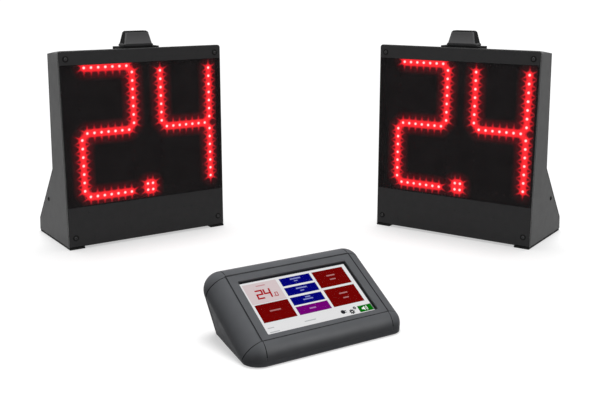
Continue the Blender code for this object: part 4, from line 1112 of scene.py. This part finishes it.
# The console's picture. Places are shares of its width from the left and its height from below.
# Tiles: colour, left, right, bottom and top. Bars: colour, left, right, middle height and rise.
TILES = (
    ("pink", 0.019, 0.325, 0.575, 0.965),
    ("red", 0.028, 0.326, 0.22, 0.56),
    ("blue", 0.353, 0.64, 0.80, 0.955),
    ("blue", 0.35, 0.643, 0.605, 0.763),
    ("blue", 0.349, 0.641, 0.41, 0.565),
    ("purple", 0.35, 0.647, 0.22, 0.38),
    ("red", 0.665, 0.965, 0.617, 0.955),
    ("red", 0.67, 0.967, 0.225, 0.576),
    ("green", 0.865, 0.998, 0.027, 0.149),
)
BARS = (
    ("rose", 0.13, 0.213, 0.905, 0.02),
    ("pale_red", 0.128, 0.226, 0.41, 0.024),
    ("pale_blue", 0.447, 0.543, 0.91, 0.024),
    ("pale_blue", 0.473, 0.507, 0.865, 0.018),
    ("pale_blue", 0.45, 0.55, 0.715, 0.024),
    ("pale_blue", 0.477, 0.511, 0.663, 0.018),
    ("pale_blue", 0.483, 0.53, 0.526, 0.022),
    ("pale_blue", 0.454, 0.545, 0.485, 0.022),
    ("pale_purple", 0.461, 0.519, 0.304, 0.022),
    ("pale_red", 0.777, 0.857, 0.833, 0.024),
    ("pale_red", 0.789, 0.844, 0.753, 0.022),
    ("pale_red", 0.787, 0.866, 0.452, 0.024),
    ("pale_red", 0.799, 0.853, 0.359, 0.022),
    ("soft_grey", 0.354, 0.457, 0.094, 0.016),
    ("soft_grey", 0.031, 0.085, 0.118, 0.014),
    ("soft_grey", 0.031, 0.115, 0.04, 0.016),
)
PICTURE_COLOURS = {
    "ground": (0.775, 0.765, 0.772),
    "pink": (0.665, 0.555, 0.565),
    "red": (0.163, 0.0, 0.0),
    "blue": (0.0, 0.0, 0.175),
    "purple": (0.168, 0.0, 0.172),
    "green": (0.0, 0.148, 0.002),
    "white": (0.9, 0.93, 0.9),
    "digit": (0.40, 0.004, 0.012),
    "rose": (0.55, 0.27, 0.29),
    "pale_red": (0.42, 0.17, 0.17),
    "pale_blue": (0.24, 0.26, 0.55),
    "pale_purple": (0.42, 0.2, 0.45),
    "soft_grey": (0.45, 0.46, 0.47),
    "ink": (0.02, 0.02, 0.024),
}

# Numerals: text, left edge, drop below the foot line, width, height and stroke.
NUMERALS = (
    ("2", 0.098, 0.0, 8.2, 13.0, 2.4),
    ("4", 0.168, 0.0, 8.2, 13.0, 2.4),
    ("0", 0.252, 0.4, 3.6, 5.8, 1.0),
)
NUMERAL_FOOT = 0.665
LEAN = 0.06
STROKE_PAST = 0.4
POINT_BOX = (0.238, 0.246, 0.655, 0.672)

# Symbols: gears with their place, radius and teeth, and a loudspeaker and a plug.
GEARS = ((0.797, 0.075, 3.6, 8), (0.836, 0.13, 2.3, 7))
GEAR_RING = (0.3, 0.84)
GEAR_TEETH = (0.78, 1.15)
TOOTH_HALF = 12.0
SPEAKER_PLACE = (0.915, 0.088)
SPEAKER_HORN = ((-3.0, -1.3), (-1.2, -1.3), (1.4, -3.4), (1.4, 3.4), (-1.2, 1.3), (-3.0, 1.3))
SOUND_RADII = (3.6, 5.6)
SOUND_STROKE = 0.45
SOUND_HALF = 38.0
PLUG_PLACE = (0.717, 0.105)
PLUG_RADIUS = 3.2
PIN_ENDS = (2.8, 5.6)
PIN_PLACES = (-1.9, 0.9)
PIN_WIDTH = 1.0
PICTURE_STEP = 0.06
GROUND_SINK = 0.02


def on_screen(u, v):
    return (u - 0.5) * SCREEN_WIDTH, (v - 0.5) * SCREEN_HEIGHT


def screen_box(u0, u1, v0, v1):
    x0, y0 = on_screen(u0, v0)
    x1, y1 = on_screen(u1, v1)
    return [(x0, y0), (x1, y0), (x1, y1), (x0, y1)]


def digit_strokes(text, left, low, width, height, stroke):
    """Seven-segment numeral as leaning bars that meet at their ends."""
    strokes = []
    for name in NUMERAL_SEGMENTS[text]:
        places = [(left + width * across, low + 0.5 * height * up) for across, up in SEGMENTS[name]]
        start, end = [Vector(place) for place in places]
        along = (end - start).normalized()
        across = Vector((-along.y, along.x)) * 0.5 * stroke
        start = start - STROKE_PAST * stroke * along
        end = end + STROKE_PAST * stroke * along
        ring = [start - across, end - across, end + across, start + across]
        strokes.append([(point.x + LEAN * (point.y - low), point.y) for point in ring])
    return strokes


def ring_sector(centre, inner, outer, start, end, steps=10):
    return arc(centre, outer, start, end, steps) + list(reversed(arc(centre, inner, start, end, steps)))


def speaker_symbol():
    """Loudspeaker with two sound arcs, on the green tile."""
    x, y = on_screen(*SPEAKER_PLACE)
    shapes = [[(x + dx, y + dy) for dx, dy in SPEAKER_HORN]]
    for radius in SOUND_RADII:
        inner = radius - SOUND_STROKE
        shapes.append(ring_sector((x, y), inner, radius + SOUND_STROKE, -SOUND_HALF, SOUND_HALF))
    return shapes


def gear_symbol():
    """Two meshed gears."""
    shapes = []
    for u, v, radius, teeth in GEARS:
        centre = on_screen(u, v)
        hub, rim, root, tip = [share * radius for share in GEAR_RING + GEAR_TEETH]
        for index in range(8):
            start = 45.0 * index
            shapes.append(ring_sector(centre, hub, rim, start, start + 45.0, 3))
        for index in range(teeth):
            middle = 360.0 * index / teeth
            shapes.append(ring_sector(centre, root, tip, middle - TOOTH_HALF, middle + TOOTH_HALF, 2))
    return shapes


def plug_symbol():
    """Round plug with two short pins."""
    x, y = on_screen(*PLUG_PLACE)
    shapes = [arc((x, y), PLUG_RADIUS, 0.0, 345.0, 23)]
    start, end = [x + reach for reach in PIN_ENDS]
    for place in PIN_PLACES:
        low = y + place
        high = low + PIN_WIDTH
        shapes.append([(start, low), (end, low), (end, high), (start, high)])
    return shapes


def console_picture(unit):
    """Picture panel: a lit ground with its tiles, bars, numerals and symbols laid on it."""
    layers = [(name, 1, screen_box(*places)) for name, *places in TILES]
    for name, u0, u1, v, rise in BARS:
        layers.append((name, 2, screen_box(u0, u1, v - 0.5 * rise, v + 0.5 * rise)))
    for text, share, drop, *sizes in NUMERALS:
        left, foot = on_screen(share, NUMERAL_FOOT)
        layers.extend(("digit", 2, outline) for outline in digit_strokes(text, left, foot - drop, *sizes))
    layers.append(("digit", 2, screen_box(*POINT_BOX)))
    layers.extend(("white", 2, outline) for outline in speaker_symbol())
    layers.extend(("ink", 1, outline) for outline in gear_symbol() + plug_symbol())

    top = -SHELL - 2.0 * GAP - GLASS_THICKNESS
    x = 0.5 * SCREEN_WIDTH + PANEL_MARGIN
    y = 0.5 * SCREEN_HEIGHT + PANEL_MARGIN
    panel = box(-x, x, -y, y, top - PANEL_THICKNESS, top)
    ground = slab(screen_box(0.0, 1.0, 0.0, 1.0), top - GROUND_SINK, top + 0.5 * PICTURE_STEP)
    names = list(PICTURE_COLOURS)
    pairs = [(panel, names.index("ink")), (ground, names.index("ground"))]
    for name, height, outline in layers:
        shape = slab(outline, top, top + (height + 0.5) * PICTURE_STEP)
        pairs.append((shape, names.index(name)))
    shape, numbers = numbered(*pairs)
    looks = [picture("picture_" + name, colour) for name, colour in PICTURE_COLOURS.items()]
    piece(
        "console_picture", moved(shape, screen_frame()), unit, looks,
        "console_picture_panel", angle=0.0, numbers=numbers,
    )


CONSOLE_FINISHES = {
    "touch_glass": ("glass",),
    "panel_bracket": ("zinc",),
    "main_board": ("circuit",),
    "battery": ("wrap",),
    "speaker": ("black",),
    "button_switch": ("black", 0.2),
    "front_foot": ("rubber",),
    "rear_foot": ("rubber",),
    "base_screw_1": ("steel",),
    "base_screw_2": ("steel",),
    "base_screw_3": ("steel",),
    "base_screw_4": ("steel",),
}


def console(place, looks):
    unit = unit_matrix(place)
    # The second look is the painted shade in the grooves.
    console_shells(unit, (looks["console"], looks["groove"]))
    console_picture(unit)
    for part, finish in CONSOLE_FINISHES.items():
        finish_node("console_" + part, looks, *finish)

    wide = BUTTON_RADIUS + BUTTON_RIM
    seat = -SHELL - GAP
    profile = [(wide, seat - BUTTON_FLANGE), (wide, seat), (BUTTON_RADIUS, seat)]
    profile += [(BUTTON_RADIUS - inwards, BUTTON_PROUD - drop) for inwards, drop in BUTTON_CROWN]
    cap = on_rear_wall(turned(profile), BUTTON_ACROSS, BUTTON_HEIGHT)
    piece(
        "console_round_button", cap, unit, (looks["rocker"],),
        "console_power_button", "console_button",
    )
    socket = on_rear_wall(round_socket(DC_RADIUS), DC_ACROSS, DC_HEIGHT)
    node = "console_charging_socket"
    piece("console_round_socket", socket, unit, (looks["black"],), node)


# Scene.
def add_floor():
    """Pale floor that is white to the camera where no shadow falls."""
    look = Look("floor_white", 1.0, 0.0, 0.0)
    seen = seen_directly(look.tree)
    colour = look.node("ShaderNodeMix")
    colour.data_type = "RGBA"
    fill(colour, Factor=seen, A=(*FLOOR_BOUNCE, 1.0), B=(*FLOOR_COLOUR, 1.0))
    diffuse = look.node("ShaderNodeBsdfDiffuse", Color=colour.outputs["Result"])
    raised = look.node("ShaderNodeMath", seen, FLOOR_LIFT)
    raised.operation = "MULTIPLY"
    lift = look.node("ShaderNodeEmission", Strength=raised.outputs[0])
    both = look.node("ShaderNodeAddShader", diffuse.outputs[0], lift.outputs[0])
    fill(look.output, Surface=both.outputs[0])
    reach = FLOOR_REACH
    corners = [(-reach, -reach, 0.0), (reach, -reach, 0.0), (reach, reach, 0.0), (-reach, reach, 0.0)]
    floor = plain_object("floor", (corners, [(0, 1, 2, 3)]), Matrix(), (look.material,))


def seen_directly(tree):
    """1 for camera, glossy and transmission rays, and 0 for the rest."""
    path = new_node(tree, "ShaderNodeLightPath")
    result = path.outputs["Is Camera Ray"]
    for kind in ("Is Glossy Ray", "Is Transmission Ray"):
        larger = new_node(tree, "ShaderNodeMath", result, path.outputs[kind])
        larger.operation = "MAXIMUM"
        result = larger.outputs[0]
    return result


def add_world():
    """White to the camera and in reflections, and a soft even light otherwise."""
    world = bpy.data.worlds.new("studio")
    bpy.context.scene.world = world
    world.use_nodes = True
    tree = world.node_tree
    ambient = tree.nodes["Background"]
    fill(ambient, Color=WHITE, Strength=AMBIENT)
    white = new_node(tree, "ShaderNodeBackground", Color=WHITE)
    seen = seen_directly(tree)
    mix = new_node(tree, "ShaderNodeMixShader", seen, ambient.outputs[0], white.outputs[0])
    fill(tree.nodes["World Output"], Surface=mix.outputs[0])


def add_light(name, strength, travel):
    light = bpy.data.lights.new(name, "SUN")
    light.energy = strength
    light.angle = SUN_SPREAD
    lamp = bpy.data.objects.new(name, light)
    lamp.rotation_euler = travel.to_track_quat("-Z", "Y").to_euler()
    bpy.context.scene.collection.objects.link(lamp)
    return lamp


def add_sheen(pieces):
    """Light from the front right that only puts a sheen on the console's rounded edges."""
    lit = bpy.data.collections.new("console_sheen")
    for made in pieces:
        lit.objects.link(made)
    lamp = add_light("sheen", SHEEN_STRENGTH, SHEEN_TRAVEL)
    lamp.visible_diffuse = False
    lamp.light_linking.receiver_collection = lit


def add_camera():
    data = bpy.data.cameras.new("camera")
    data.lens = CAMERA_LENS
    data.sensor_width = CAMERA_SENSOR
    data.clip_end = CAMERA_REACH
    camera = bpy.data.objects.new("camera", data)
    camera.location = CAMERA_PLACE
    camera.rotation_euler = (math.radians(90.0) - CAMERA_DOWN, 0.0, 0.0)
    bpy.context.scene.collection.objects.link(camera)
    bpy.context.scene.camera = camera


def make_looks():
    looks = {key: moulded(*values) for key, values in MOULDED.items()}
    looks.update({
        "window": smoked(),
        "circuit": circuit("solder_mask_green"),
        "zinc": bare_metal("zinc_plate", (0.55, 0.56, 0.58), 0.4),
        "steel": bare_metal("steel_screw", (0.5, 0.5, 0.5), 0.35),
        "glass": clear_glass(),
        "glow": glowing(),
        "lit_lamp": lens("lit_lens", (0.5, 0.03, 0.03), 2.2),
        "unlit_lamp": lens("unlit_lens", (0.02, 0.002, 0.002), 0.0),
    })
    return looks


bpy.context.scene.view_settings.view_transform = "Standard"
add_camera()
add_world()
add_light("overhead", SUN_STRENGTH, SUN_TRAVEL)
add_floor()
all_looks = make_looks()
display("left", LEFT_PLACE, all_looks)
display("right", RIGHT_PLACE, all_looks)
console(CONSOLE_PLACE, all_looks)

bpy.context.view_layer.update()
